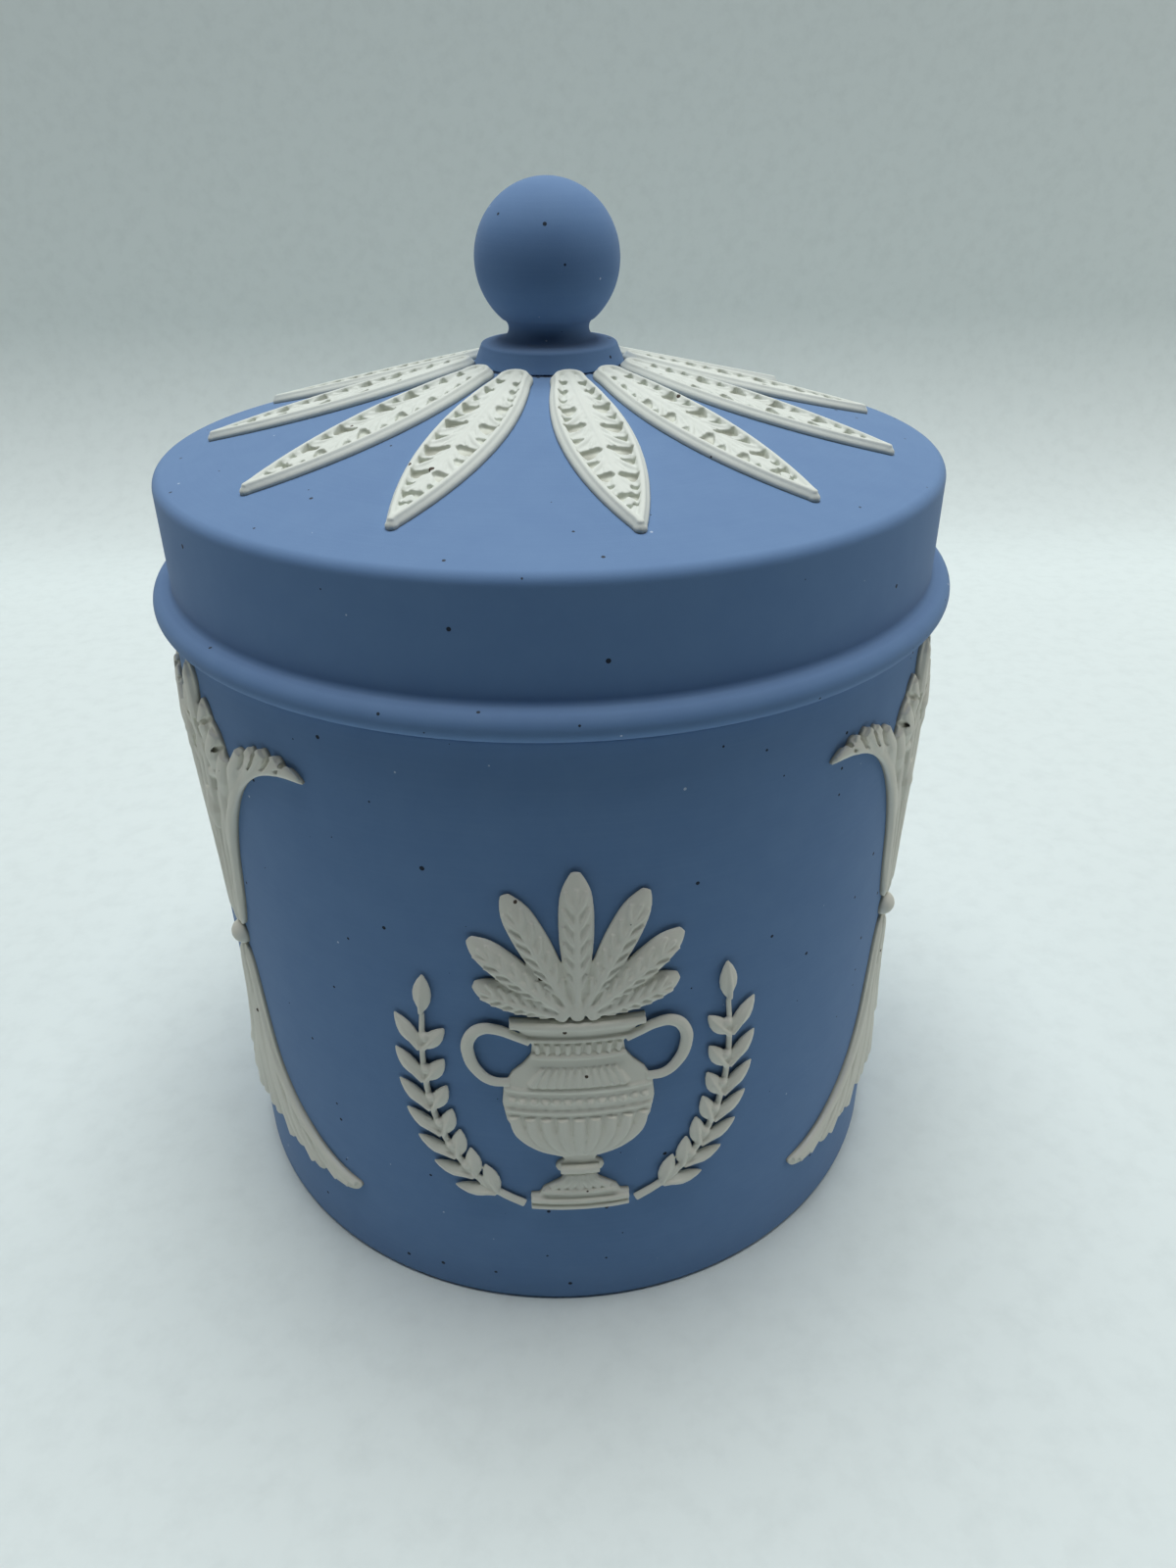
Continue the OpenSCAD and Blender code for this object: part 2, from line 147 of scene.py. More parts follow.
def join(name: str, parts: Sequence[Obj]) -> Obj:
    """Joins meshes into one object.

    Args:
        name: The name of the joined object.
        parts: The objects to join.

    Returns:
        The joined object.
    """
    activate(parts[0])
    for part in parts[1:]:
        part.select_set(True)
    if len(parts) > 1:
        bpy.ops.object.join()
    parts[0].name = name
    return parts[0]


def placed_copy(obj: Obj, name: str, turn: float) -> Obj:
    """Copies a finished piece, with a mesh of its own, and turns it round the box's axis.

    Args:
        obj: The piece to copy, modelled for the front.
        name: The copy's name.
        turn: The turn in degrees, counterclockwise from above.

    Returns:
        The copy, at the origin with its turn in its mesh.
    """
    activate(obj)
    bpy.ops.object.duplicate(linked=False)
    copy = bpy.context.object
    copy.name = name
    copy.data.name = name
    copy.rotation_euler = (0, 0, math.radians(turn))
    return settle(copy)


def wire(name: str, points: Sequence[Vector]) -> Obj:
    """Draws a chain of edges by extruding one vertex from point to point.

    Args:
        name: The name of the new object.
        points: The places along the chain, in metres.

    Returns:
        The object, which holds only the chain.
    """
    bpy.ops.object.select_all(action="DESELECT")
    bpy.ops.mesh.primitive_plane_add(size=MM)
    obj = bpy.context.object
    obj.name = name
    bpy.ops.object.mode_set(mode="EDIT")
    bpy.ops.mesh.merge(type="CENTER")
    bpy.ops.transform.translate(value=points[0])
    for here, there in zip(points, points[1:]):
        bpy.ops.mesh.extrude_vertices_move(TRANSFORM_OT_translate={"value": there - here})
    bpy.ops.object.mode_set(mode="OBJECT")
    return obj


def board(point: Flat, level: float = 0.0) -> Vector:
    """A place on the drawing board as a point in metres, at a level in front of it."""
    return Vector((point[0], -level, point[1])) * MM


def spun(name: str, half: Sequence[Flat], steps: int) -> Obj:
    """Spins half a section round the box's axis into a closed skin.

    Args:
        name: The name of the new object.
        half: The half section's points, in order.
        steps: The steps in a full turn.

    Returns:
        The turned object, with its faces outwards.
    """
    obj = wire(name, [board(p) for p in half])
    with editing(obj, selected=True):
        bpy.ops.mesh.spin(steps=steps, angle=2 * math.pi, center=(0, 0, 0), axis=(0, 0, 1))
        bpy.ops.mesh.select_all(action="SELECT")
        bpy.ops.mesh.remove_doubles(threshold=MERGE)
        bpy.ops.mesh.normals_make_consistent(inside=False)
    return obj


def dress(obj: Obj, material: Material, body: str, node: str) -> None:
    """Gives a piece its finish and its body, and hides the imported part of the node that it stands for.

    Args:
        obj: The finished piece.
        material: Its finish.
        body: The body that it moves with.
        node: The node that it stands for.
    """
    obj.data.materials.clear()
    obj.data.materials.append(material)
    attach(obj, body)
    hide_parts(node)
    log.info("%s: %d faces", obj.name, len(obj.data.polygons))


def on_curve(p: float, q: float, r: float, s: float, t: float) -> float:
    """The value at share t of the way from q to r, on a smooth curve that also passes p and s."""
    return 0.5 * (2 * q + (r - p) * t + (2 * p - 5 * q + 4 * r - s) * t * t + (3 * q - p - 3 * r + s) * t**3)


def smooth_path(points: Sequence[Flat], steps: int) -> list[Flat]:
    """Runs a smooth curve through points.

    Args:
        points: The points that the curve passes.
        steps: How many steps it takes from each point to the next.

    Returns:
        The points along the curve, with both ends.
    """
    run = [points[0], *points, points[-1]]
    out: list[Flat] = []
    for near in zip(run, run[1:], run[2:], run[3:]):
        for i in range(steps):
            out.append(tuple(on_curve(*values, i / steps) for values in zip(*near)))
    return [*out, points[-1]]


def mirrored(points: Sequence[Flat]) -> list[Flat]:
    """The same points on the other side of the middle line."""
    return [(-x, z) for x, z in points]


def arc(cx: float, cz: float, radius: float, start: float, end: float, steps: int = 10) -> list[Flat]:
    """Points of an arc.

    Args:
        cx: Distance of its middle from the axis.
        cz: Height of its middle.
        radius: Its radius.
        start: Its first angle in degrees.
        end: Its last angle in degrees.
        steps: How many steps it takes.

    Returns:
        The points, with both ends.
    """
    angles = [math.radians(start + (end - start) * i / steps) for i in range(steps + 1)]
    return [(cx + radius * math.cos(a), cz + radius * math.sin(a)) for a in angles]


# Sizes that several pieces share


@dataclass(frozen=True)
class BoxSizes:
    """Sizes of the turned body that the ornaments sit on."""

    wall_r: float = 52.1
    ledge_z: float = 91.3
    lid_r: float = 51.4
    skirt_h: float = 17.3
    lid_slope: float = 14.0
    foot_r: float = 9.65

    @property
    def shoulder_z(self) -> float:
        """Height at which the skirt would meet the lid's slope."""
        return self.ledge_z + self.skirt_h

    @property
    def slope(self) -> float:
        """Rise of the lid's top for each millimetre inwards."""
        return math.tan(math.radians(self.lid_slope))

    def lid_top(self, r: float) -> float:
        """Height of the lid's sloping top at a radius."""
        return self.shoulder_z + (self.lid_r - r) * self.slope


BOX = BoxSizes()


# Finishes


def linear(code: str) -> tuple[float, float, float, float]:
    """Turns an sRGB hex colour such as #6f8db5 into Blender's linear colour."""
    channels = [int(code[i : i + 2], 16) / 255 for i in (1, 3, 5)]
    return (*(c / 12.92 if c <= 0.04045 else ((c + 0.055) / 1.055) ** 2.4 for c in channels), 1.0)


def per_metre(size_mm: float) -> float:
    """The texture scale at which one cell of a pattern measures size_mm."""
    return 1 / (size_mm * MM)


class Recipe:
    """A finish while it is being mixed: the node tree of a material, or of the world."""

    def __init__(self, owner: bpy.types.ID) -> None:
        """Starts with an empty node tree.

        Args:
            owner: The material or the world.
        """
        owner.use_nodes = True
        self.tree = owner.node_tree
        self.tree.nodes.clear()

    def add_node(self, kind: str, inputs: Inputs, **settings: object) -> Outputs:
        """Adds a node with its settings and links.

        Args:
            kind: The node's type, without the ShaderNode that every type's name starts with.
            inputs: For each socket, by name or number, a value or the output socket that feeds it.
            **settings: Values for the node's own properties.

        Returns:
            The node's output sockets.
        """
        node = self.tree.nodes.new("ShaderNode" + kind)
        for name, value in settings.items():
            setattr(node, name, value)
        for key, value in inputs.items():
            if isinstance(value, Socket):
                self.tree.links.new(value, node.inputs[key])
            else:
                node.inputs[key].default_value = value
        return node.outputs

    @cached_property
    def place(self) -> Socket:
        """The place on the piece, in metres."""
        return self.add_node("TexCoord", {})["Object"]

    @cached_property
    def radius(self) -> Socket:
        """The distance from the box's axis, in metres."""
        flat = self.add_node("VectorMath", {0: self.place, 1: (1.0, 1.0, 0.0)}, operation="MULTIPLY")[0]
        return self.add_node("VectorMath", {0: flat}, operation="LENGTH")["Value"]

    @cached_property
    def height(self) -> Socket:
        """The height over the table, in metres."""
        return self.add_node("SeparateXYZ", {0: self.place})["Z"]

    def tinted(
        self, colour: object, tint: str, value: Socket, band: Flat, shares: Flat, soft: bool = False
    ) -> Socket:
        """Lays a tint over a colour, as strongly as a value says.

        Args:
            colour: The colour, or the socket that gives it.
            tint: The colour that is laid over it.
            value: The socket of the value.
            band: The two values between which the tint changes.
            shares: The tint's share of the colour at each of the two.
            soft: True where the change has no sharp start or end.

        Returns:
            The socket of the tinted colour.
        """
        ends = dict(zip(("From Min", "From Max", "To Min", "To Max"), (*band, *shares)))
        ease = "SMOOTHSTEP" if soft else "LINEAR"
        share = self.add_node("MapRange", {"Value": value, **ends}, interpolation_type=ease)["Result"]
        mix = {"Factor": share, "A": colour, "B": linear(tint)}
        return self.add_node("Mix", mix, data_type="RGBA")["Result"]

    def marked(self, colour: Socket, mark: str, away: Socket, reach: Socket) -> Socket:
        """Lays a mark over a colour wherever a distance is less than the mark's reach.

        Args:
            colour: The socket of the colour.
            mark: The mark's colour.
            away: The socket of the distance from the mark's middle.
            reach: The socket of its reach.

        Returns:
            The socket of the marked colour.
        """
        inside = self.add_node("Math", {0: away, 1: reach}, operation="LESS_THAN")[0]
        mix = {"Factor": inside, "A": colour, "B": linear(mark)}
        return self.add_node("Mix", mix, data_type="RGBA")["Result"]

    def surface(self, sockets: Inputs) -> None:
        """Adds the shader, with what its sockets hold, and the output that it feeds."""
        shader = self.add_node("BsdfPrincipled", sockets)["BSDF"]
        self.add_node("OutputMaterial", {"Surface": shader})


class Seat(Enum):
    """The surface that a piece is turned to or lies on."""

    WALL = "wall"
    LID = "lid"
    KNOB = "knob"


@dataclass(frozen=True)
class Specks:
    """Stray specks of one kind: the iron spots and dust that the fired body shows.

    The cell is the distance between places that may hold a speck, the size is the radius of the largest,
    and clean is the share of the places that hold none.
    """

    colour: str
    cell: float
    size: float
    clean: float

    def over(self, recipe: Recipe, colour: Socket) -> Socket:
        """Strews the specks over a colour.

        Args:
            recipe: The finish.
            colour: The socket of its colour.

        Returns:
            The socket of the specked colour.
        """
        cells = {"Vector": recipe.place, "Scale": per_metre(self.cell), "Randomness": 1.0}
        spots = recipe.add_node("TexVoronoi", cells)
        lot = recipe.add_node("SeparateColor", {0: spots["Color"]})[0]
        sizes = {"Value": lot, "From Min": self.clean, "From Max": 1.0, "To Max": self.size / self.cell}
        reach = recipe.add_node("MapRange", sizes)["Result"]
        return recipe.marked(colour, self.colour, spots["Distance"], reach)


@dataclass(frozen=True)
class Stoneware:
    """Dry-bodied stoneware, fired without a glaze: matt, fine-grained and coloured all through."""

    colour: str
    pale: str
    deep: str
    roughness: float
    specks: tuple[Specks, ...]
    specular: float = 0.3
    sheen: float = 0.0
    sheen_roughness: float = 0.45
    dust: str = "#fff2e0"
    ior: float = 1.5
    grain: float = 0.16
    grain_depth: float = 0.03
    grain_bump: float = 0.5
    cloud: float = 5.0
    cloud_band: Flat = (0.35, 0.7)
    cloud_most: float = 0.3

    def mottled(self, recipe: Recipe, colour: object) -> Socket:
        """Adds faint cloudy shades of the clay body, which stop it from looking painted.

        Args:
            recipe: The finish.
            colour: Its colour, or the socket that gives it.

        Returns:
            The socket of the mottled colour.
        """
        size = {"Vector": recipe.place, "Scale": per_metre(self.cloud), "Detail": 4.0, "Roughness": 0.6}
        cloud = recipe.add_node("TexNoise", size)["Fac"]
        return recipe.tinted(colour, self.pale, cloud, self.cloud_band, (0.0, self.cloud_most))

    def grained(self, recipe: Recipe) -> Socket:
        """Adds the fine dry grain of the body as a bump.

        Args:
            recipe: The finish.

        Returns:
            The socket of the surface's normal.
        """
        size = {"Vector": recipe.place, "Scale": per_metre(self.grain), "Detail": 2.0, "Roughness": 0.7}
        grain = recipe.add_node("TexNoise", size)["Fac"]
        bump = {"Height": grain, "Strength": self.grain_bump, "Distance": self.grain_depth * MM}
        return recipe.add_node("Bump", bump)["Normal"]

    def finish(self, recipe: Recipe, colour: Socket, normal: Socket) -> None:
        """Adds the clay body's matt shader.

        Args:
            recipe: The finish.
            colour: The socket of its colour.
            normal: The socket of its surface's normal.
        """
        sockets = {
            "Base Color": colour,
            "Roughness": self.roughness,
            "IOR": self.ior,
            "Specular IOR Level": self.specular,
            "Sheen Weight": self.sheen,
            "Sheen Roughness": self.sheen_roughness,
            "Sheen Tint": linear(self.dust),
            "Normal": normal,
        }
        recipe.surface(sockets)


@dataclass(frozen=True)
class BlueStoneware(Stoneware):
    """Blue-stained stoneware, thrown and then turned true on a lathe, which leaves faint rings."""

    # Unglazed and lathe-turned: the eye sees a dry, even blue with no glossy highlight, faint rings, and the
    # specks that iron in the clay leaves. Faces that look up are paled with dust and a painted highlight,
    # and the knob's joint with the lid is darkened with a painted shade line. The rings are really about 0.2
    # mm apart and the grain is finer than 0.05 mm. Both are drawn as coarse as they need to show.

    colour: str = "#6485b1"
    pale: str = "#7091ba"
    # The colour of the painted shade line at the knob's joint with the lid.
    deep: str = "#22334d"
    roughness: float = 0.8
    specks: tuple[Specks, ...] = (
        Specks("#262f3d", cell=2.6, size=0.31, clean=0.5),
        Specks("#b4c4d8", cell=3.4, size=0.19, clean=0.5),
    )
    specular: float = 0.14
    sheen: float = 0.08
    line_step: float = 0.45
    line_depth: float = 0.02
    line_bump: float = 0.6
    line_drift: float = 0.02
    streak_band: Flat = (0.45, 0.75)
    streak_most: float = 0.16
    # Dust and painted highlight on faces that look up: their tint, the band of upward facing over which they
    # grow, and their most share.
    dust_and_highlight_tint: str = "#cdd6dd"
    dust_and_highlight_band: Flat = (0.4, 1.0)
    dust_and_highlight_most: float = 0.06
    # The painted shade line at the knob's joint: its ragged grain, its band, how far past the knob's foot it
    # lies on the lid, and its reach on the lid and on the knob.
    joint_shade_grain: float = 1.3
    joint_shade_band: Flat = (0.38, 0.7)
    joint_shade_out: float = 0.1
    joint_shade_on_lid: float = 0.42
    joint_shade_on_knob: float = 0.3

    def lathe_lines(self, recipe: Recipe, seat: Seat) -> Socket:
        """Adds the turning lines: rings up the wall, or rings round the lid's slope.

        Args:
            recipe: The finish.
            seat: What the piece is, which says which way its lines run.

        Returns:
            The socket of the lines' height.
        """
        along = recipe.add_node("SeparateXYZ", {0: recipe.place})
        across: Inputs = {"Z": recipe.radius if seat is Seat.LID else recipe.height}
        for axis in ("X", "Y"):
            drift = {0: along[axis], 1: self.line_drift}
            across[axis] = recipe.add_node("Math", drift, operation="MULTIPLY")[0]
        vector = recipe.add_node("CombineXYZ", across)[0]
        size = {"Vector": vector, "Scale": per_metre(self.line_step), "Detail": 3.0, "Roughness": 0.6}
        return recipe.add_node("TexNoise", size)["Fac"]

    def dust_and_top_highlight(self, recipe: Recipe, colour: Socket) -> Socket:
        """Adds pale dust and a painted highlight where the body faces up.

        Args:
            recipe: The finish.
            colour: The socket of its clean colour.

        Returns:
            The socket of the colour with dust and painted highlight.
        """
        # Dust and painted highlight: paler the more the face looks up.
        facing = recipe.add_node("TexCoord", {})["Normal"]
        up = recipe.add_node("SeparateXYZ", {0: facing})["Z"]
        return recipe.tinted(colour, self.dust_and_highlight_tint, up, self.dust_and_highlight_band, (0.0, self.dust_and_highlight_most))

    def painted_joint_shade(self, recipe: Recipe, colour: Socket, seat: Seat) -> Socket:
        """Adds a ragged dark line of painted shade in the crevice where the knob is stuck on the lid.

        Args:
            recipe: The finish.
            colour: The socket of the colour under the line.
            seat: The lid, whose line is a ring, or the knob, whose line is at its lower edge.

        Returns:
            The socket of the colour with the painted shade line.
        """
        if seat is Seat.LID:
            source, middle, reach = recipe.radius, BOX.foot_r + self.joint_shade_out, self.joint_shade_on_lid
        else:
            source, middle, reach = recipe.height, BOX.lid_top(BOX.foot_r), self.joint_shade_on_knob
        off = recipe.add_node("Math", {0: source, 1: middle * MM}, operation="SUBTRACT")[0]
        away = recipe.add_node("Math", {0: off}, operation="ABSOLUTE")[0]
        size = {"Vector": recipe.place, "Scale": per_metre(self.joint_shade_grain), "Detail": 3.0, "Roughness": 0.7}
        ragged = recipe.add_node("TexNoise", size)["Fac"]
        low, high = self.joint_shade_band
        widths = {"Value": ragged, "From Min": low, "From Max": high, "To Max": reach * MM}
        return recipe.marked(colour, self.deep, away, recipe.add_node("MapRange", widths)["Result"])

    def build(self, name: str, seat: Seat) -> Material:
        """Builds the blue finish for one turned piece.

        Args:
            name: The material's name.
            seat: What the piece is, which says which way its lathe lines run.

        Returns:
            The material.
        """
        material = bpy.data.materials.new(name)
        recipe = Recipe(material)
        lines = self.lathe_lines(recipe, seat)
        colour = self.mottled(recipe, linear(self.colour))
        colour = recipe.tinted(colour, self.pale, lines, self.streak_band, (0.0, self.streak_most))
        for specks in self.specks:
            colour = specks.over(recipe, colour)
        # The painted shade line at the joint of the knob and the lid.
        if seat is not Seat.WALL:
            colour = self.painted_joint_shade(recipe, colour, seat)
        rings = {
            "Height": lines,
            "Strength": self.line_bump,
            "Distance": self.line_depth * MM,
            "Normal": self.grained(recipe),
        }
        # Dust and painted highlight on faces that look up.
        self.finish(recipe, self.dust_and_top_highlight(recipe, colour), recipe.add_node("Bump", rings)["Normal"])
        return material


@dataclass(frozen=True)
class WhiteStoneware(Stoneware):
    """White stoneware pressed in plaster moulds: smoother than the turned body, cream with painted shade at
    its foot.
    """

    # Unglazed and mould-pressed: the eye sees a soft, chalky white without a highlight, cream where it is
    # thin at its foot, and here and there a rusty speck. Near the seat the cream is deepened with painted
    # shade, and its hollows are greyed with painted shade. Its grain is drawn coarser than the real one too.

    colour: str = "#e3e2d8"
    pale: str = "#ebeae2"
    deep: str = "#c4c2b0"
    roughness: float = 0.7
    specks: tuple[Specks, ...] = (Specks("#4c4037", cell=2.6, size=0.36, clean=0.87),)
    grain_depth: float = 0.02
    # Cream of the thin clay at the foot, deepened with painted shade near the seat: its height and its most
    # share.
    foot_h: float = 0.7
    foot_cream_and_shade_most: float = 0.8
    # Painted shade in the hollows: its grey, the levels over the seat between which it fades, and its most
    # share.
    hollow: str = "#86847a"
    hollow_shade_band: Flat = (0.03, 0.46)
    hollow_shade_most: float = 0.65

    def build(self, name: str, seat: Seat) -> Material:
        """Builds the white finish for the ornaments of one seat.

        Args:
            name: The material's name.
            seat: The wall or the lid, whose surface the clay's height is measured from.

        Returns:
            The material.
        """
        material = bpy.data.materials.new(name)
        recipe = Recipe(material)
        level, seat_level = recipe.radius, BOX.wall_r
        if seat is Seat.LID:
            rise = {0: recipe.radius, 1: BOX.slope, 2: recipe.height}
            level, seat_level = recipe.add_node("Math", rise, operation="MULTIPLY_ADD")[0], BOX.lid_top(0)
        over = recipe.add_node("Math", {0: level, 1: seat_level * MM}, operation="SUBTRACT")[0]
        # Cream of the thin foot, deepened with painted shade where the clay lies low.
        band, shares = (0.0, self.foot_h * MM), (self.foot_cream_and_shade_most, 0.0)
        colour = recipe.tinted(linear(self.colour), self.deep, over, band, shares, soft=True)
        colour = self.mottled(recipe, colour)
        # Painted shade: grey in the hollows and pits, where the clay lies lowest.
        band, shares = tuple(h * MM for h in self.hollow_shade_band), (self.hollow_shade_most, 0.0)
        colour = recipe.tinted(colour, self.hollow, over, band, shares, soft=True)
        for specks in self.specks:
            colour = specks.over(recipe, colour)
        self.finish(recipe, colour, self.grained(recipe))
        return material


@dataclass(frozen=True)
class CoatedBoard:
    """Matt coated paper board, smooth from its press: the pale floor under the box."""

    # Coated and pressed smooth: the eye sees an even, nearly white sheet without gloss. Faint smudges,
    # drawn a little stronger than real ones, keep it from looking empty.

    colour: str = "#dbe4e4"
    smudge: str = "#d5dede"
    smudge_size: float = 5.0
    smudge_band: Flat = (0.45, 0.75)
    roughness: float = 0.8

    def build(self, name: str) -> Material:
        """Builds the board's finish.

        Args:
            name: The material's name.

        Returns:
            The material.
        """
        material = bpy.data.materials.new(name)
        recipe = Recipe(material)
        size = per_metre(self.smudge_size)
        cloud = {"Vector": recipe.place, "Scale": size, "Detail": 5.0, "Roughness": 0.62}
        smudges = recipe.add_node("TexNoise", cloud)["Fac"]
        colour = recipe.tinted(linear(self.colour), self.smudge, smudges, self.smudge_band, (0.0, 1.0))
        recipe.surface({"Base Color": colour, "Roughness": self.roughness})
        return material


# Turned pieces


@dataclass
class TurnedPiece:
    """A piece turned on the lathe: half its section, spun round the box's axis."""

    name: str
    node: str
    body: str
    seat: Seat
    spin_steps: int = 256
    smooth_to: float = 35.0
    support: float = 0.25
    run_step: float = 2.0

    def profile(self) -> list[Flat]:
        """The half section, from the axis round to the axis again, in millimetres."""
        raise NotImplementedError

    def supported(self) -> list[Flat]:
        """The half section with points along its straight runs, which keep the shading true.

        Returns:
            The points in order.
        """
        points = self.profile()
        out = [points[0]]
        for a, b in zip(points, points[1:]):
            length = math.dist(a, b)
            if length > 3 * self.support:
                inner = max(1, round((length - 2 * self.support) / self.run_step))
                near = self.support / length
                shares = [near + (1 - 2 * near) * i / inner for i in range(inner + 1)]
                out += [(a[0] + (b[0] - a[0]) * s, a[1] + (b[1] - a[1]) * s) for s in shares]
            if length > 0:
                out.append(b)
        return out

    def build(self, material: Material) -> None:
        """Turns the piece and dresses it.

        Args:
            material: Its finish.
        """
        obj = spun(self.name, self.supported(), self.spin_steps)
        activate(obj)
        bpy.ops.object.shade_smooth_by_angle(angle=math.radians(self.smooth_to))
        dress(obj, material, self.body, self.node)


@dataclass
class JarBody(TurnedPiece):
    """The jar: a straight wall on a flat foot ring, and inside its ledge a collar for the lid."""

    name: str = "turned_jar"
    node: str = "jar_body"
    body: str = JAR
    seat: Seat = Seat.WALL
    wall: float = 4.6
    floor: float = 5.7
    floor_round: float = 5.0
    foot_round: float = 0.9
    foot_ring: float = 7.0
    recess: float = 1.2
    collar_h: float = 8.0
    collar_out: float = 47.6
    collar_in: float = 44.6
    step_low: float = 11.0
    step_h: float = 6.0
    rim: float = 0.6
    corner: float = 0.5
    corner_steps: int = 5

    def profile(self) -> list[Flat]:
        """The half section, from the middle of the underside round to the middle of the floor.

        Returns:
            The points in order.
        """
        r, z = BOX.wall_r, BOX.ledge_z
        inside = r - self.wall
        foot = r - self.foot_ring
        top = z + self.collar_h - self.rim
        root = self.collar_out + self.corner
        return [
            (0, self.recess),
            (foot - self.recess, self.recess),
            (foot, self.recess),
            (foot + self.recess, 0),
            *arc(r - self.foot_round, self.foot_round, self.foot_round, -90, 0),
            *arc(r - self.rim, z - self.rim, self.rim, 0, 90),
            (root, z),
            *arc(root, z + self.corner, self.corner, -90, -180, self.corner_steps),
            *arc(self.collar_out - self.rim, top, self.rim, 0, 90),
            *arc(self.collar_in + self.rim, top, self.rim, 90, 180),
            (self.collar_in, z - self.step_low + self.step_h),
            (inside, z - self.step_low),
            *arc(inside - self.floor_round, self.floor + self.floor_round, self.floor_round, 0, -90),
            (0, self.floor),
        ]


@dataclass
class LidShell(TurnedPiece):
    """The lid: a shallow cone over an upright skirt, with a bead round its lower edge."""

    name: str = "turned_lid"
    node: str = "lid_shell"
    body: str = LID
    seat: Seat = Seat.LID
    wall: float = 3.4
    round_: float = 1.5
    bead_out: float = 2.6
    bead_h: float = 3.4
    cove: float = 0.8
    cove_to: float = 240.0
    cove_steps: int = 6
    bead_from: float = 70.0
    bead_steps: int = 18
    rim: float = 0.6

    def profile(self) -> list[Flat]:
        """The half section, from the knob's seat down the outside and back up the inside.

        Returns:
            The points in order.
        """
        r, z, tilt = BOX.lid_r, BOX.ledge_z, BOX.lid_slope
        drop = self.round_ / math.cos(math.radians(tilt))
        roof = self.wall / math.cos(math.radians(tilt))
        inside = r - self.wall
        outer, inner = r - self.round_, inside - self.round_
        bead = self.bead_h / 2
        middle = r + self.bead_out - bead
        ceiling = BOX.lid_top(BOX.foot_r) - roof
        return [
            (0, BOX.lid_top(BOX.foot_r)),
            (BOX.foot_r, BOX.lid_top(BOX.foot_r)),
            *arc(outer, BOX.lid_top(outer) - drop, self.round_, 90 - tilt, 0),
            *arc(r + self.cove, z + self.bead_h + self.cove, self.cove, 180, self.cove_to, self.cove_steps),
            *arc(middle, z + bead, bead, self.bead_from, -90, self.bead_steps),
            *arc(inside + self.rim, z + self.rim, self.rim, 270, 180),
            *arc(inner, BOX.lid_top(inner) - roof - drop, self.round_, 0, 90 - tilt),
            (BOX.foot_r, ceiling),
            (0, ceiling),
        ]


@dataclass
class Knob(TurnedPiece):
    """The knob: a ball on a hollow neck and a round foot, turned in one and stuck on the lid."""

    name: str = "turned_knob"
    node: str = "knob"
    body: str = LID
    seat: Seat = Seat.KNOB
    spin_steps: int = 192
    ball: float = 9.1
    ball_rise: float = 12.3
    ball_past: float = 2.0
    ball_steps: int = 48
    neck: float = 5.15
    cove: float = 1.3
    cove_to: float = 262.0
    cove_steps: int = 14
    bite: float = 0.104
    foot_top: float = 8.85
    foot_h: float = 2.6
    edge: float = 0.5
    edge_turn: Flat = (82.0, 10.0)
    edge_steps: int = 6
    under: float = 0.22

    def profile(self) -> list[Flat]:
        """The half section, from the top of the ball down to the seat.

        Returns:
            The points in order.
        """
        seat_z = BOX.lid_top(BOX.foot_r)
        ball_z = seat_z + self.ball_rise
        cove_x = self.neck + self.cove
        cove_z = ball_z - math.sqrt((self.ball + self.cove - self.bite) ** 2 - cove_x**2)
        lean = math.degrees(math.atan2(cove_z - ball_z, cove_x))
        edge_x, edge_z = self.foot_top - self.edge, seat_z + self.foot_h - self.edge
        return [
            *arc(0, ball_z, self.ball, 90, lean + self.ball_past, self.ball_steps),
            *arc(cove_x, cove_z, self.cove, 180 + lean, self.cove_to, self.cove_steps),
            *arc(edge_x, edge_z, self.edge, *self.edge_turn, self.edge_steps),
            (BOX.foot_r, seat_z + self.under),
            (BOX.foot_r - self.under, seat_z),
            (0, seat_z),
        ]


# Moulded pieces


def read_table(table: Sizes, share: float) -> float:
    """Reads an evenly spread table at a share of its length.

    Args:
        table: The values.
        share: The share, from 0 to 1.

    Returns:
        The value there, between the two next to it.
    """
    if len(table) == 1:
        return table[0]
    place = share * (len(table) - 1)
    i = min(int(place), len(table) - 2)
    return table[i] + (table[i + 1] - table[i]) * (place - i)


@dataclass(frozen=True)
class Stroke:
    """A round run of clay along a smooth path, such as a rib, a stem or a slim leaf.

    Its widths, and its levels over the seat, are spread evenly along the path.
    """

    path: Path
    widths: Sizes
    levels: Sizes
    closed: bool = False

    def both(self) -> tuple["Stroke", "Stroke"]:
        """This stroke and its mirror image."""
        return self, Stroke(tuple(mirrored(self.path)), self.widths, self.levels, self.closed)


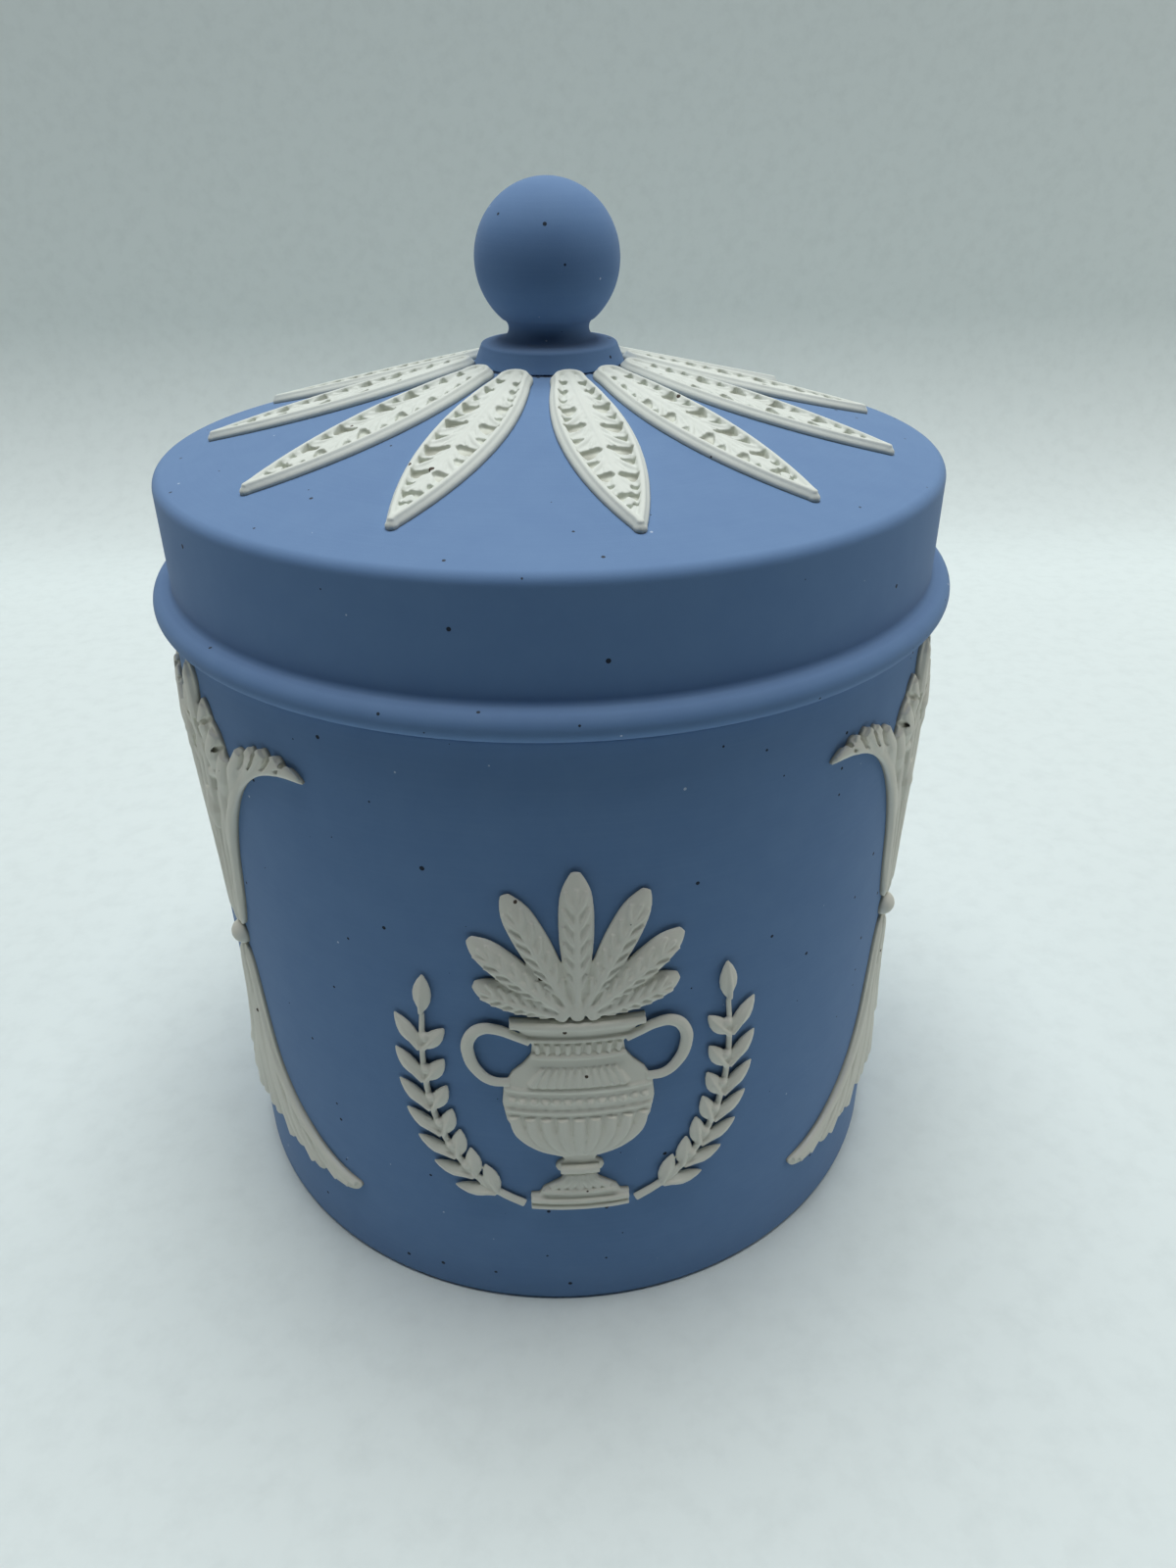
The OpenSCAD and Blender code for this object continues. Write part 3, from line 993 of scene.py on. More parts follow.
@dataclass
class MouldedPiece:
    """A piece pressed in a plaster mould: a plate and ribs that flow into each other."""

    voxel: float = 0.13
    sunk: float = 0.2
    round_steps: int = 3
    path_steps: int = 5
    soft: int = 2
    soft_share: float = 0.5
    touch: float = 2.2
    touch_depth: float = 0.05
    keep: float = 0.45

    def plate(self, name: str, outline: Sequence[Flat], front: float, back: float | None = None) -> Obj:
        """Cuts a plate of clay to an outline.

        Args:
            name: The name of the new object.
            outline: The outline's points, in order.
            front: The level of its front over the seat.
            back: The level of its back, or None for a little below the seat.

        Returns:
            The plate.
        """
        back = -self.sunk if back is None else back
        obj = wire(name, [board(p, back) for p in outline])
        with editing(obj, selected=True):
            bpy.ops.mesh.edge_face_add()
            bpy.ops.mesh.extrude_region_move(TRANSFORM_OT_translate={"value": (0, (back - front) * MM, 0)})
            bpy.ops.mesh.select_all(action="SELECT")
            bpy.ops.mesh.normals_make_consistent(inside=False)
        return obj

    def strokes(self, name: str, runs: Sequence[Stroke], flatness: float) -> Obj:
        """Lays runs of clay along their paths.

        Args:
            name: The name of the new object.
            runs: The runs.
            flatness: Height of a run as a share of its width.

        Returns:
            The runs as one mesh.
        """
        bpy.ops.object.select_all(action="DESELECT")
        bpy.ops.curve.primitive_bezier_curve_add(radius=MM)
        obj = bpy.context.object
        obj.name = name
        curve = obj.data
        curve.splines.clear()
        curve.bevel_depth = MM / 2
        curve.bevel_resolution = self.round_steps
        curve.resolution_u = self.path_steps
        curve.use_fill_caps = True
        for run in runs:
            spline = curve.splines.new("BEZIER")
            spline.bezier_points.add(len(run.path) - 1)
            spline.use_cyclic_u = run.closed
            for i, (point, place) in enumerate(zip(spline.bezier_points, run.path)):
                share = i / max(1, len(run.path) - 1)
                point.co = board(place, read_table(run.levels, share) / flatness)
                point.handle_left_type = point.handle_right_type = "AUTO"
                point.radius = read_table(run.widths, share)
        bpy.ops.object.convert(target="MESH")
        obj = bpy.context.object
        obj.scale = (1, flatness, 1)
        return settle(obj)

    def balls(self, name: str, places: Sequence[Flat], levels: Sequence[float], radius: float) -> Obj:
        """Sets a row of small balls of clay.

        Args:
            name: The name of the new object.
            places: The balls' places on the board.
            levels: The level of each ball's middle.
            radius: The balls' radius.

        Returns:
            The balls as one mesh.
        """
        bpy.ops.object.select_all(action="DESELECT")
        bpy.ops.mesh.primitive_uv_sphere_add(
            segments=16, ring_count=10, radius=radius * MM, location=board(places[0], levels[0])
        )
        first = settle(bpy.context.object)
        balls = [first]
        for place, level in zip(places[1:], levels[1:]):
            activate(first)
            step = board(place, level) - board(places[0], levels[0])
            bpy.ops.object.duplicate_move(TRANSFORM_OT_translate={"value": step})
            balls.append(settle(bpy.context.object))
        return join(name, balls)

    def skin(self, obj: Obj) -> None:
        """Runs overlapping clay into one skin without a seam."""
        modify(obj, "REMESH", mode="VOXEL", voxel_size=self.voxel * MM)

    def carve(self, obj: Obj, cutter: Obj) -> None:
        """Cuts one object's skin out of another's and clears the cutter away.

        Args:
            obj: The object to cut.
            cutter: What is cut out of it.
        """
        self.skin(obj)
        self.skin(cutter)
        modify(obj, "BOOLEAN", operation="DIFFERENCE", solver="EXACT", object=cutter)
        bpy.data.objects.remove(cutter)

    def press(self, obj: Obj) -> None:
        """Runs plate and ribs into one skin of soft clay, as the plaster mould leaves it.

        Args:
            obj: The joined plate and ribs.
        """
        self.skin(obj)
        modify(obj, "SMOOTH", factor=self.soft_share, iterations=self.soft)
        touch = bpy.data.textures.new("hand_touch", "CLOUDS")
        touch.noise_scale = self.touch * MM
        depth = self.touch_depth * MM
        modify(obj, "DISPLACE", texture=touch, texture_coords="LOCAL", strength=depth, mid_level=0.5)
        modify(obj, "DECIMATE", ratio=self.keep)
        activate(obj)
        bpy.ops.object.shade_smooth()


def scaled(shares: Sequence[Flat], w: float, h: float, z: float) -> list[Flat]:
    """Turns shares into places: x times w, and the height times h above z."""
    return [(x * w, z + y * h) for x, y in shares]


def whole(half: Sequence[Flat], steps: int) -> list[Flat]:
    """Closes half an outline, whose ends lie on the middle line, with its mirror image."""
    side = smooth_path(half, steps)
    return [*side, *mirrored(side[-2:0:-1])]


@dataclass
class LidLeaves(MouldedPiece):
    """The ring of pressed leaves on the lid: a raised edge, a stem, flowing veins and deep pits.

    Places along the leaf are shares of its length, from its root to its tip. A rise is how far the
    middle of a run lies over the leaf's field. A vein has a fine line beside it. Their feet and bends
    are how far past the vein's root they lie, and the line's end how far past the vein's end. How far
    out they lie is a distance at a foot, and a share of the vein's reach elsewhere.
    """

    voxel: float = 0.12
    length: float = 34.4
    width: float = 8.7
    root_w: float = 2.8
    gap: float = 0.6
    peak: float = 0.44
    field_t: float = 0.66
    field_in: float = 0.15
    field_steps: int = 28
    edge_w: float = 0.75
    edge_top: float = 1.18
    edge_in: float = 0.8
    edge_draw: float = 0.35
    edge_start: float = 0.012
    edge_least: float = 0.12
    edge_steps: int = 16
    foot_w: float = 1.34
    foot_in: float = 0.55
    foot_level: float = 0.16
    stem: Sizes = (0.01, 0.5, 0.94)
    stem_widths: Sizes = (1.2, 0.9, 0.4)
    stem_rise: float = 0.05
    vein_flat: float = 0.62
    vein_start: float = 0.02
    vein_run: float = 0.11
    vein_short: float = 0.2
    vein_foot: Flat = (0.0, 0.15)
    vein_bend: Flat = (0.05, 0.34)
    vein_widths: Sizes = (0.4, 0.62, 0.5)
    vein_rises: Sizes = (0.06, 0.12, 0.02)
    line_foot: Flat = (0.035, 0.2)
    line_bend: Flat = (0.08, 0.3)
    line_end: Flat = (0.02, 0.52)
    line_widths: Sizes = (0.3, 0.34, 0.2)
    line_rises: Sizes = (0.1, 0.15, 0.06)
    vein_ends: Sizes = (
        0.125, 0.185, 0.25, 0.318, 0.38, 0.45, 0.53, 0.606, 0.683, 0.757, 0.812, 0.865, 0.915,
    )
    stem_lines: tuple[tuple[float, float, float], ...] = (
        (0.62, 0.02, 0.36), (1.05, 0.03, 0.24), (1.5, 0.05, 0.16), (0.5, 0.42, 0.75),
    )
    stem_line_spread: Sizes = (0.8, 1.1, 1.5)
    stem_line_widths: Sizes = (0.3, 0.36, 0.2)
    stem_line_rise: float = 0.13
    pit_floor: float = 0.04
    pit_top: float = 2.0
    pit_rise: tuple[Flat, ...] = ((0.6, 0.12), (0.9, 0.2))
    pit_shallow: float = 0.15
    pit_l: float = 2.6
    pit_w: float = 2.1
    pit_w_power: float = 0.85
    pit_lean: float = 27.0
    pit_uneven: float = 0.13
    pit_uneven_wave: tuple[int, int] = (7, 3)
    pit_stray: float = 0.006
    pit_stray_wave: tuple[int, int] = (5, 2)
    pit_shape: tuple[Flat, ...] = ((0.0, 0.42), (0.14, 0.5), (0.4, 0.46), (0.75, 0.32), (1.0, 0.16))
    pits: tuple[Flat, ...] = (
        (0.095, 0.42), (0.155, 0.5), (0.214, 0.42), (0.289, 0.85), (0.347, 0.5), (0.414, 0.95),
        (0.487, 0.55), (0.574, 1.0), (0.638, 0.6), (0.728, 0.85), (0.785, 0.42), (0.838, 0.62),
        (0.89, 0.3),
    )
    turns: Sizes = (11.5, 40, 70, 99, 128.5, 157.5, 186.5, 215.5, 245, 274, 309, 338)

    def half(self, s: float) -> float:
        """Half the leaf's width at a share of its length.

        Args:
            s: The share.

        Returns:
            Half the width.
        """
        if s > self.peak:
            return self.width / 2 * (1 - ((s - self.peak) / (1 - self.peak)) ** 2)
        lack = (self.width - self.root_w) / 2
        return self.width / 2 - lack * ((self.peak - s) / self.peak) ** 2

    def at(self, s: float, across: float) -> Flat:
        """A place on the leaf: share s along it, and a distance from its middle line."""
        along = (BOX.foot_r + self.gap + s * self.length) / math.cos(math.radians(BOX.lid_slope))
        return across, -along

    def outline(self) -> list[Flat]:
        """The leaf's outline, from its root down one side, round the tip and back.

        Returns:
            The points in order.
        """
        shares = [i / self.field_steps for i in range(self.field_steps + 1)]
        side = [self.at(s, max(0.0, self.half(s) - self.field_in)) for s in shares]
        return [*side, *mirrored(side[-2::-1])]

    def inset(self, s: float, most: float) -> float:
        """How far a run lies inside the outline at a share of the length: most where the leaf is widest."""
        return most * (self.edge_draw + (1 - self.edge_draw) * 2 * self.half(s) / self.width)

    def edge(self, width: float, most: float, level: float) -> Stroke:
        """A round run just inside the outline.

        Args:
            width: The run's width.
            most: How far inside it lies where the leaf is widest.
            level: The level of its middle.

        Returns:
            The closed run, which meets itself at the leaf's tip.
        """
        last = self.peak + (1 - self.peak) * math.sqrt(1 - 2 * self.inset(1, most) / self.width)
        run = last - 2 * self.edge_start
        shares = [self.edge_start + run * i / self.edge_steps for i in range(self.edge_steps + 1)]
        side = [self.at(s, max(self.edge_least, self.half(s) - self.inset(s, most))) for s in shares]
        return Stroke((*side, self.at(last, 0), *mirrored(side[::-1])), (width,), (level,), closed=True)

    @staticmethod
    def rooted(root: float, reach: float, foot: Flat, bend: Flat) -> list[Flat]:
        """Where a vein with this root and reach, or the line beside it, has its foot and its bend."""
        return [(root + foot[0], foot[1]), (root + bend[0], reach * bend[1])]

    def run(self, places: Sequence[Flat], widths: Sizes, rises: Sizes) -> Stroke:
        """A run of clay through places on the leaf, with its rises over the field."""
        path = tuple(self.at(s, across) for s, across in places)
        return Stroke(path, widths, tuple(self.field_t + rise for rise in rises))

    def veins(self) -> list[Stroke]:
        """The stem, the veins that leave it between the pits, and fine lines beside the stem.

        Returns:
            Their runs of clay.
        """
        runs = [self.run([(s, 0) for s in self.stem], self.stem_widths, (self.stem_rise,))]
        past, out = self.line_end
        for s in self.vein_ends:
            root = max(self.vein_start, s - self.vein_run)
            reach = self.half(s) - self.inset(s, self.edge_in) - self.vein_short
            vein = [*self.rooted(root, reach, self.vein_foot, self.vein_bend), (s, reach)]
            runs += self.run(vein, self.vein_widths, self.vein_rises).both()
            line = [*self.rooted(root, reach, self.line_foot, self.line_bend), (s + past, reach * out)]
            runs += self.run(line, self.line_widths, self.line_rises).both()
        for x, start, end in self.stem_lines:
            shares = (start, (start + end) / 2, end)
            line = [(s, x * spread) for s, spread in zip(shares, self.stem_line_spread)]
            runs += self.run(line, self.stem_line_widths, (self.stem_line_rise,)).both()
        return runs

    def pit_wedge(self, number: int, s: float, size: float, side: int) -> Obj:
        """Makes the wedge that carves one pit, from the leaf's edge in towards its stem.

        Args:
            number: The pit's number along the leaf, which makes it a little uneven.
            s: The pit's place along the leaf.
            size: Its size, as a share of the largest pit's.
            side: 1 for the right side of the leaf, -1 for the left.

        Returns:
            The wedge.
        """
        lean = math.radians(self.pit_lean)
        a, b = self.pit_uneven_wave
        uneven = 1 + self.pit_uneven * math.sin(a * number + b * side)
        a, b = self.pit_stray_wave
        place = s + self.pit_stray * math.sin(a * number + b * side)
        length, width = self.pit_l * size * uneven, self.pit_w * size**self.pit_w_power / uneven**0.5
        x, z = self.at(place, self.half(place) - self.inset(place, self.edge_in) - self.edge_w / 2)
        near, far = [], []
        for along, half in self.pit_shape:
            middle = (x - along * length * math.cos(lean), z + along * length * math.sin(lean))
            step = (half * width * math.sin(lean), half * width * math.cos(lean))
            near.append((side * (middle[0] + step[0]), middle[1] + step[1]))
            far.append((side * (middle[0] - step[0]), middle[1] - step[1]))
        floor = self.pit_floor + self.pit_shallow * (1 - size)
        wedge = self.plate("pit_wedge", [*near, *far[::-1]], floor, self.pit_top)
        root = board((side * x, z))
        back = self.pit_top / 2 * MM
        with editing(wedge):
            for share, rise in self.pit_rise:
                reach = share * length * MM
                select_where(
                    wedge,
                    lambda p: p.y > -back and math.hypot(p.x - root.x, p.z - root.z) > reach,
                )
                bpy.ops.transform.translate(value=(0, -rise * MM, 0))
        return wedge

    def build(self, material: Material) -> None:
        """Models one leaf, lays it on the slope and copies it round the lid.

        Args:
            material: Its finish.
        """
        rim = self.edge(self.edge_w, self.edge_in, self.edge_top - self.edge_w / 2)
        foot = self.edge(self.foot_w, self.foot_in, self.foot_level)
        parts = [
            self.plate("leaf_field", self.outline(), self.field_t),
            self.strokes("leaf_veins", self.veins(), self.vein_flat),
            self.strokes("leaf_edge", [rim, foot], 1.0),
        ]
        leaf = join("leaf", parts)
        wedges = [self.pit_wedge(k, *pit, side) for k, pit in enumerate(self.pits) for side in (-1, 1)]
        self.carve(leaf, join("pit_cutter", wedges))
        self.press(leaf)
        leaf.rotation_euler = (math.radians(BOX.lid_slope - 90), 0, 0)
        leaf.location = (0, 0, BOX.lid_top(0) * MM)
        settle(leaf)
        for k, turn in enumerate(self.turns, 1):
            copy = placed_copy(leaf, f"pressed_leaf_{k:02d}", turn)
            dress(copy, material, LID, f"lid_leaf_{k:02d}")
        bpy.data.objects.remove(leaf)


@dataclass
class WallOrnament(MouldedPiece):
    """A moulded piece that repeats in each of the three places round the jar.

    Its name and its node are how the names of its copies and of their nodes start.
    """

    turn: float = 1.7
    name: str = ""
    node: str = ""
    mirror: bool = False

    def model(self) -> Obj:
        """Models the piece flat, in front of the drawing board."""
        raise NotImplementedError

    def wrap(self, obj: Obj) -> None:
        """Bends a flat piece round the jar's wall at the front.

        Args:
            obj: The piece.
        """
        across = [v.co.x for v in obj.data.vertices]
        angle = (max(across) - min(across)) / (BOX.wall_r * MM)
        modify(obj, "SIMPLE_DEFORM", deform_method="BEND", deform_axis="Z", angle=angle)
        obj.location = (0, -BOX.wall_r * MM, 0)
        settle(obj)

    def build(self, material: Material) -> None:
        """Models the piece, wraps it round the wall and copies it round the jar.

        Args:
            material: Its finish.
        """
        obj = self.model()
        if self.mirror:
            obj.scale = (-1, 1, 1)
            settle(obj)
            with editing(obj, selected=True):
                bpy.ops.mesh.normals_make_consistent(inside=False)
        self.press(obj)
        self.wrap(obj)
        for k in range(SETS):
            copy = placed_copy(obj, f"{self.name}_{k + 1}", self.turn + k * 360 / SETS)
            dress(copy, material, JAR, f"{self.node}_{k + 1}")
        bpy.data.objects.remove(obj)


@dataclass
class Acanthus(WallOrnament):
    """An acanthus sprig: a thin ground with rounded lobes laid over each other like fingers.

    Places in its tables are shares: x of the sprig's half width, and z of its height. A lobe is a path
    and its widths, and a groove has its levels too.
    """

    turn: float = 61.7
    foot_z: float = 0.0
    height: float = 0.0
    spread: float = 0.0
    ground_t: float = 0.5
    lobe_level: float = 0.5
    lift: float = 0.14
    side_levels: Sizes = (-0.06, 0.04, 0.02)
    flatness: float = 0.56
    half_outline: Path = ()
    middle_lobes: tuple[tuple[Path, Sizes], ...] = ()
    side_lobes: tuple[tuple[Path, Sizes], ...] = ()
    grooves: tuple[tuple[Path, Sizes, Sizes], ...] = ()

    def placed(self, shares: Sequence[Flat]) -> Path:
        """Turns shares into places on the board."""
        return tuple(scaled(shares, self.spread, self.height, self.foot_z))

    def model(self) -> Obj:
        """Models the sprig flat: ground, lobes of which every second is a little higher, and cut grooves.

        Returns:
            The sprig.
        """
        ground = self.plate("acanthus_ground", whole(self.placed(self.half_outline), 3), self.ground_t)
        runs = []
        for path, widths in self.middle_lobes:
            runs.append(Stroke(self.placed(path), widths, (self.lobe_level + self.lift,)))
        for k, (path, widths) in enumerate(self.side_lobes):
            level = self.lobe_level + self.lift * (k % 2)
            runs += Stroke(self.placed(path), widths, tuple(level + d for d in self.side_levels)).both()
        obj = join("acanthus_model", [ground, self.strokes("acanthus_lobes", runs, self.flatness)])
        if self.grooves:
            cuts = []
            for path, widths, levels in self.grooves:
                cuts += Stroke(self.placed(path), widths, levels).both()
            self.carve(obj, self.strokes("groove_cutter", cuts, 1.0))
        return obj


@dataclass
class AcanthusUpper(Acanthus):
    """The acanthus sprig under the ledge: a stem that opens into a plume and two scrolled leaves."""

    name: str = "moulded_acanthus_upper"
    node: str = "acanthus_upper"
    foot_z: float = 50.8
    height: float = 39.6
    spread: float = 22.5
    half_outline: Path = (
        (0, 1), (0.04, 0.99), (0.07, 0.95), (0.066, 0.9), (0.05, 0.855), (0.1, 0.88), (0.15, 0.9),
        (0.2, 0.876), (0.225, 0.838), (0.27, 0.818), (0.31, 0.78), (0.33, 0.735), (0.37, 0.725),
        (0.43, 0.77), (0.49, 0.805), (0.54, 0.808), (0.575, 0.792), (0.61, 0.828), (0.65, 0.84),
        (0.675, 0.818), (0.71, 0.845), (0.755, 0.85), (0.785, 0.82), (0.82, 0.842), (0.865, 0.842),
        (0.89, 0.815), (0.93, 0.82), (0.975, 0.803), (1, 0.782), (0.89, 0.782), (0.76, 0.772),
        (0.64, 0.745), (0.52, 0.69), (0.42, 0.622), (0.335, 0.54), (0.268, 0.45), (0.217, 0.342),
        (0.186, 0.231), (0.155, 0.131), (0.115, 0.045), (0.06, 0.005), (0, 0),
    )
    middle_lobes: tuple[tuple[Path, Sizes], ...] = (
        (((0, 0.66), (0, 0.82), (0, 0.95), (0, 0.988)), (1.0, 2.6, 2.3, 0.7)),
        (((0, 0.4), (0, 0.47), (0, 0.55)), (1.6, 3.4, 2.0)),
        (((0, 0.008), (0, 0.04), (0, 0.2), (0, 0.42)), (0.5, 1.1, 1.1, 0.7)),
    )
    side_lobes: tuple[tuple[Path, Sizes], ...] = (
        (((0.06, 0.012), (0.085, 0.05), (0.135, 0.23), (0.2, 0.41), (0.32, 0.568), (0.52, 0.708),
          (0.75, 0.783), (0.965, 0.796)), (0.6, 1.5, 1.5, 1.7, 1.8, 1.5, 1.2, 0.7)),
        (((0.66, 0.76), (0.8, 0.8), (0.91, 0.812), (0.985, 0.796)), (0.8, 1.8, 1.6, 0.8)),
        (((0.6, 0.735), (0.73, 0.795), (0.845, 0.835)), (0.7, 1.8, 1.4)),
        (((0.51, 0.7), (0.62, 0.78), (0.735, 0.84)), (0.7, 1.8, 1.4)),
        (((0.43, 0.665), (0.53, 0.76), (0.63, 0.83)), (0.7, 1.5, 1.0)),
        (((0.33, 0.6), (0.42, 0.71), (0.515, 0.797)), (0.8, 2.2, 1.4)),
        (((0.2, 0.55), (0.25, 0.645), (0.315, 0.735)), (0.9, 2.8, 1.9)),
        (((0.14, 0.64), (0.185, 0.72), (0.255, 0.805)), (0.9, 3.1, 1.9)),
        (((0.08, 0.72), (0.11, 0.8), (0.155, 0.88)), (0.9, 2.8, 1.4)),
        (((0.03, 0.42), (0.045, 0.56), (0.05, 0.66), (0.085, 0.77)), (1.0, 1.7, 1.6, 1.1)),
        (((0.13, 0.3), (0.185, 0.5), (0.205, 0.6), (0.245, 0.68)), (1.0, 1.9, 1.9, 1.2)),
        (((0.05, 0.615), (0.12, 0.637), (0.19, 0.65)), (1.2, 1.3, 1.2)),
        (((0.028, 0.012), (0.045, 0.08), (0.065, 0.26), (0.11, 0.43), (0.15, 0.52)),
         (0.5, 1.1, 1.2, 1.3, 0.8)),
    )
    grooves: tuple[tuple[Path, Sizes, Sizes], ...] = (
        (((0.12, 0.605), (0.117, 0.56)), (1.9, 1.9), (0.97,)),
        (((0.112, 0.71), (0.12, 0.66)), (0.9, 1.2), (0.8, 0.75)),
        (((0.03, 0.81), (0.055, 0.75), (0.085, 0.7)), (0.6, 1.0, 0.6), (0.95, 0.85, 0.95)),
        (((0.34, 0.772), (0.26, 0.752), (0.165, 0.722)), (1.1, 0.8, 0.5), (0.62, 0.8, 1.05)),
        (((0.24, 0.852), (0.15, 0.822), (0.055, 0.79)), (1.1, 0.8, 0.5), (0.62, 0.8, 1.05)),
        (((0.565, 0.81), (0.53, 0.765), (0.49, 0.735)), (1.1, 0.8, 0.4), (0.62, 0.72, 0.98)),
        (((0.685, 0.835), (0.645, 0.79), (0.6, 0.762)), (1.1, 0.8, 0.4), (0.62, 0.72, 0.98)),
        (((0.79, 0.838), (0.75, 0.8), (0.7, 0.777)), (1.0, 0.8, 0.4), (0.62, 0.72, 0.98)),
        (((0.895, 0.835), (0.86, 0.808), (0.83, 0.8)), (0.9, 0.7, 0.4), (0.62, 0.75, 1.15)),
        (((0.06, 0.4), (0.045, 0.25), (0.03, 0.1)), (0.6, 0.7, 0.5), (1.0, 0.92, 0.98)),
    )


@dataclass
class AcanthusLower(Acanthus):
    """The acanthus sprig over the foot: long leaves that fall and curl outwards."""

    name: str = "moulded_acanthus_lower"
    node: str = "acanthus_lower"
    foot_z: float = 12.0
    height: float = 35.2
    spread: float = 22.7
    half_outline: Path = (
        (0, 1), (0.055, 0.993), (0.106, 0.93), (0.132, 0.852), (0.159, 0.753), (0.189, 0.636),
        (0.233, 0.517), (0.308, 0.409), (0.405, 0.318), (0.515, 0.247), (0.643, 0.179), (0.767, 0.134),
        (0.88, 0.108), (0.965, 0.09), (0.925, 0.048), (0.852, 0.026), (0.77, 0.018), (0.7, 0.026),
        (0.655, 0.062), (0.61, 0.024), (0.55, 0.008), (0.48, 0.028), (0.432, 0.085), (0.38, 0.045),
        (0.31, 0.034), (0.25, 0.075), (0.214, 0.15), (0.165, 0.1), (0.11, 0.088), (0.05, 0.08), (0, 0.075),
    )
    middle_lobes: tuple[tuple[Path, Sizes], ...] = (
        (((0, 0.99), (0, 0.94), (0, 0.5), (0, 0.11)), (0.5, 1.2, 1.8, 1.9)),
    )
    side_lobes: tuple[tuple[Path, Sizes], ...] = (
        (((0.03, 0.985), (0.06, 0.93), (0.1, 0.72), (0.19, 0.475), (0.36, 0.31), (0.6, 0.175), (0.8, 0.108),
          (0.92, 0.08)), (0.6, 1.5, 1.6, 1.9, 2.0, 1.9, 1.7, 1.3)),
        (((0.03, 0.75), (0.06, 0.4), (0.115, 0.125)), (0.8, 2.0, 2.2)),
        (((0.07, 0.62), (0.15, 0.33), (0.29, 0.08)), (0.8, 2.2, 2.8)),
        (((0.12, 0.5), (0.24, 0.26), (0.375, 0.085)), (0.7, 1.6, 1.5)),
        (((0.24, 0.38), (0.38, 0.18), (0.535, 0.052)), (0.8, 2.0, 2.6)),
        (((0.36, 0.28), (0.5, 0.15), (0.615, 0.06)), (0.6, 1.3, 1.2)),
        (((0.5, 0.2), (0.64, 0.105), (0.76, 0.055)), (0.8, 1.6, 2.2)),
        (((0.62, 0.15), (0.76, 0.085), (0.86, 0.055)), (0.7, 1.4, 1.4)),
    )


@dataclass
class AcanthusDrop(WallOrnament):
    """The small ball between the two sprigs."""

    name: str = "moulded_acanthus_drop"
    node: str = "acanthus_drop"
    turn: float = 61.7
    z: float = 49.0
    radius: float = 1.8

    def model(self) -> Obj:
        """Models the ball flat, cut off just below its seat.

        Returns:
            The ball.
        """
        bpy.ops.object.select_all(action="DESELECT")
        bpy.ops.mesh.primitive_uv_sphere_add(
            segments=48, ring_count=32, radius=self.radius * MM, location=board((0, self.z))
        )
        obj = settle(bpy.context.object)
        with editing(obj, selected=True):
            bpy.ops.mesh.bisect(
                plane_co=(0, self.sunk * MM, 0), plane_no=(0, 1, 0), use_fill=True, clear_outer=True
            )
        return obj


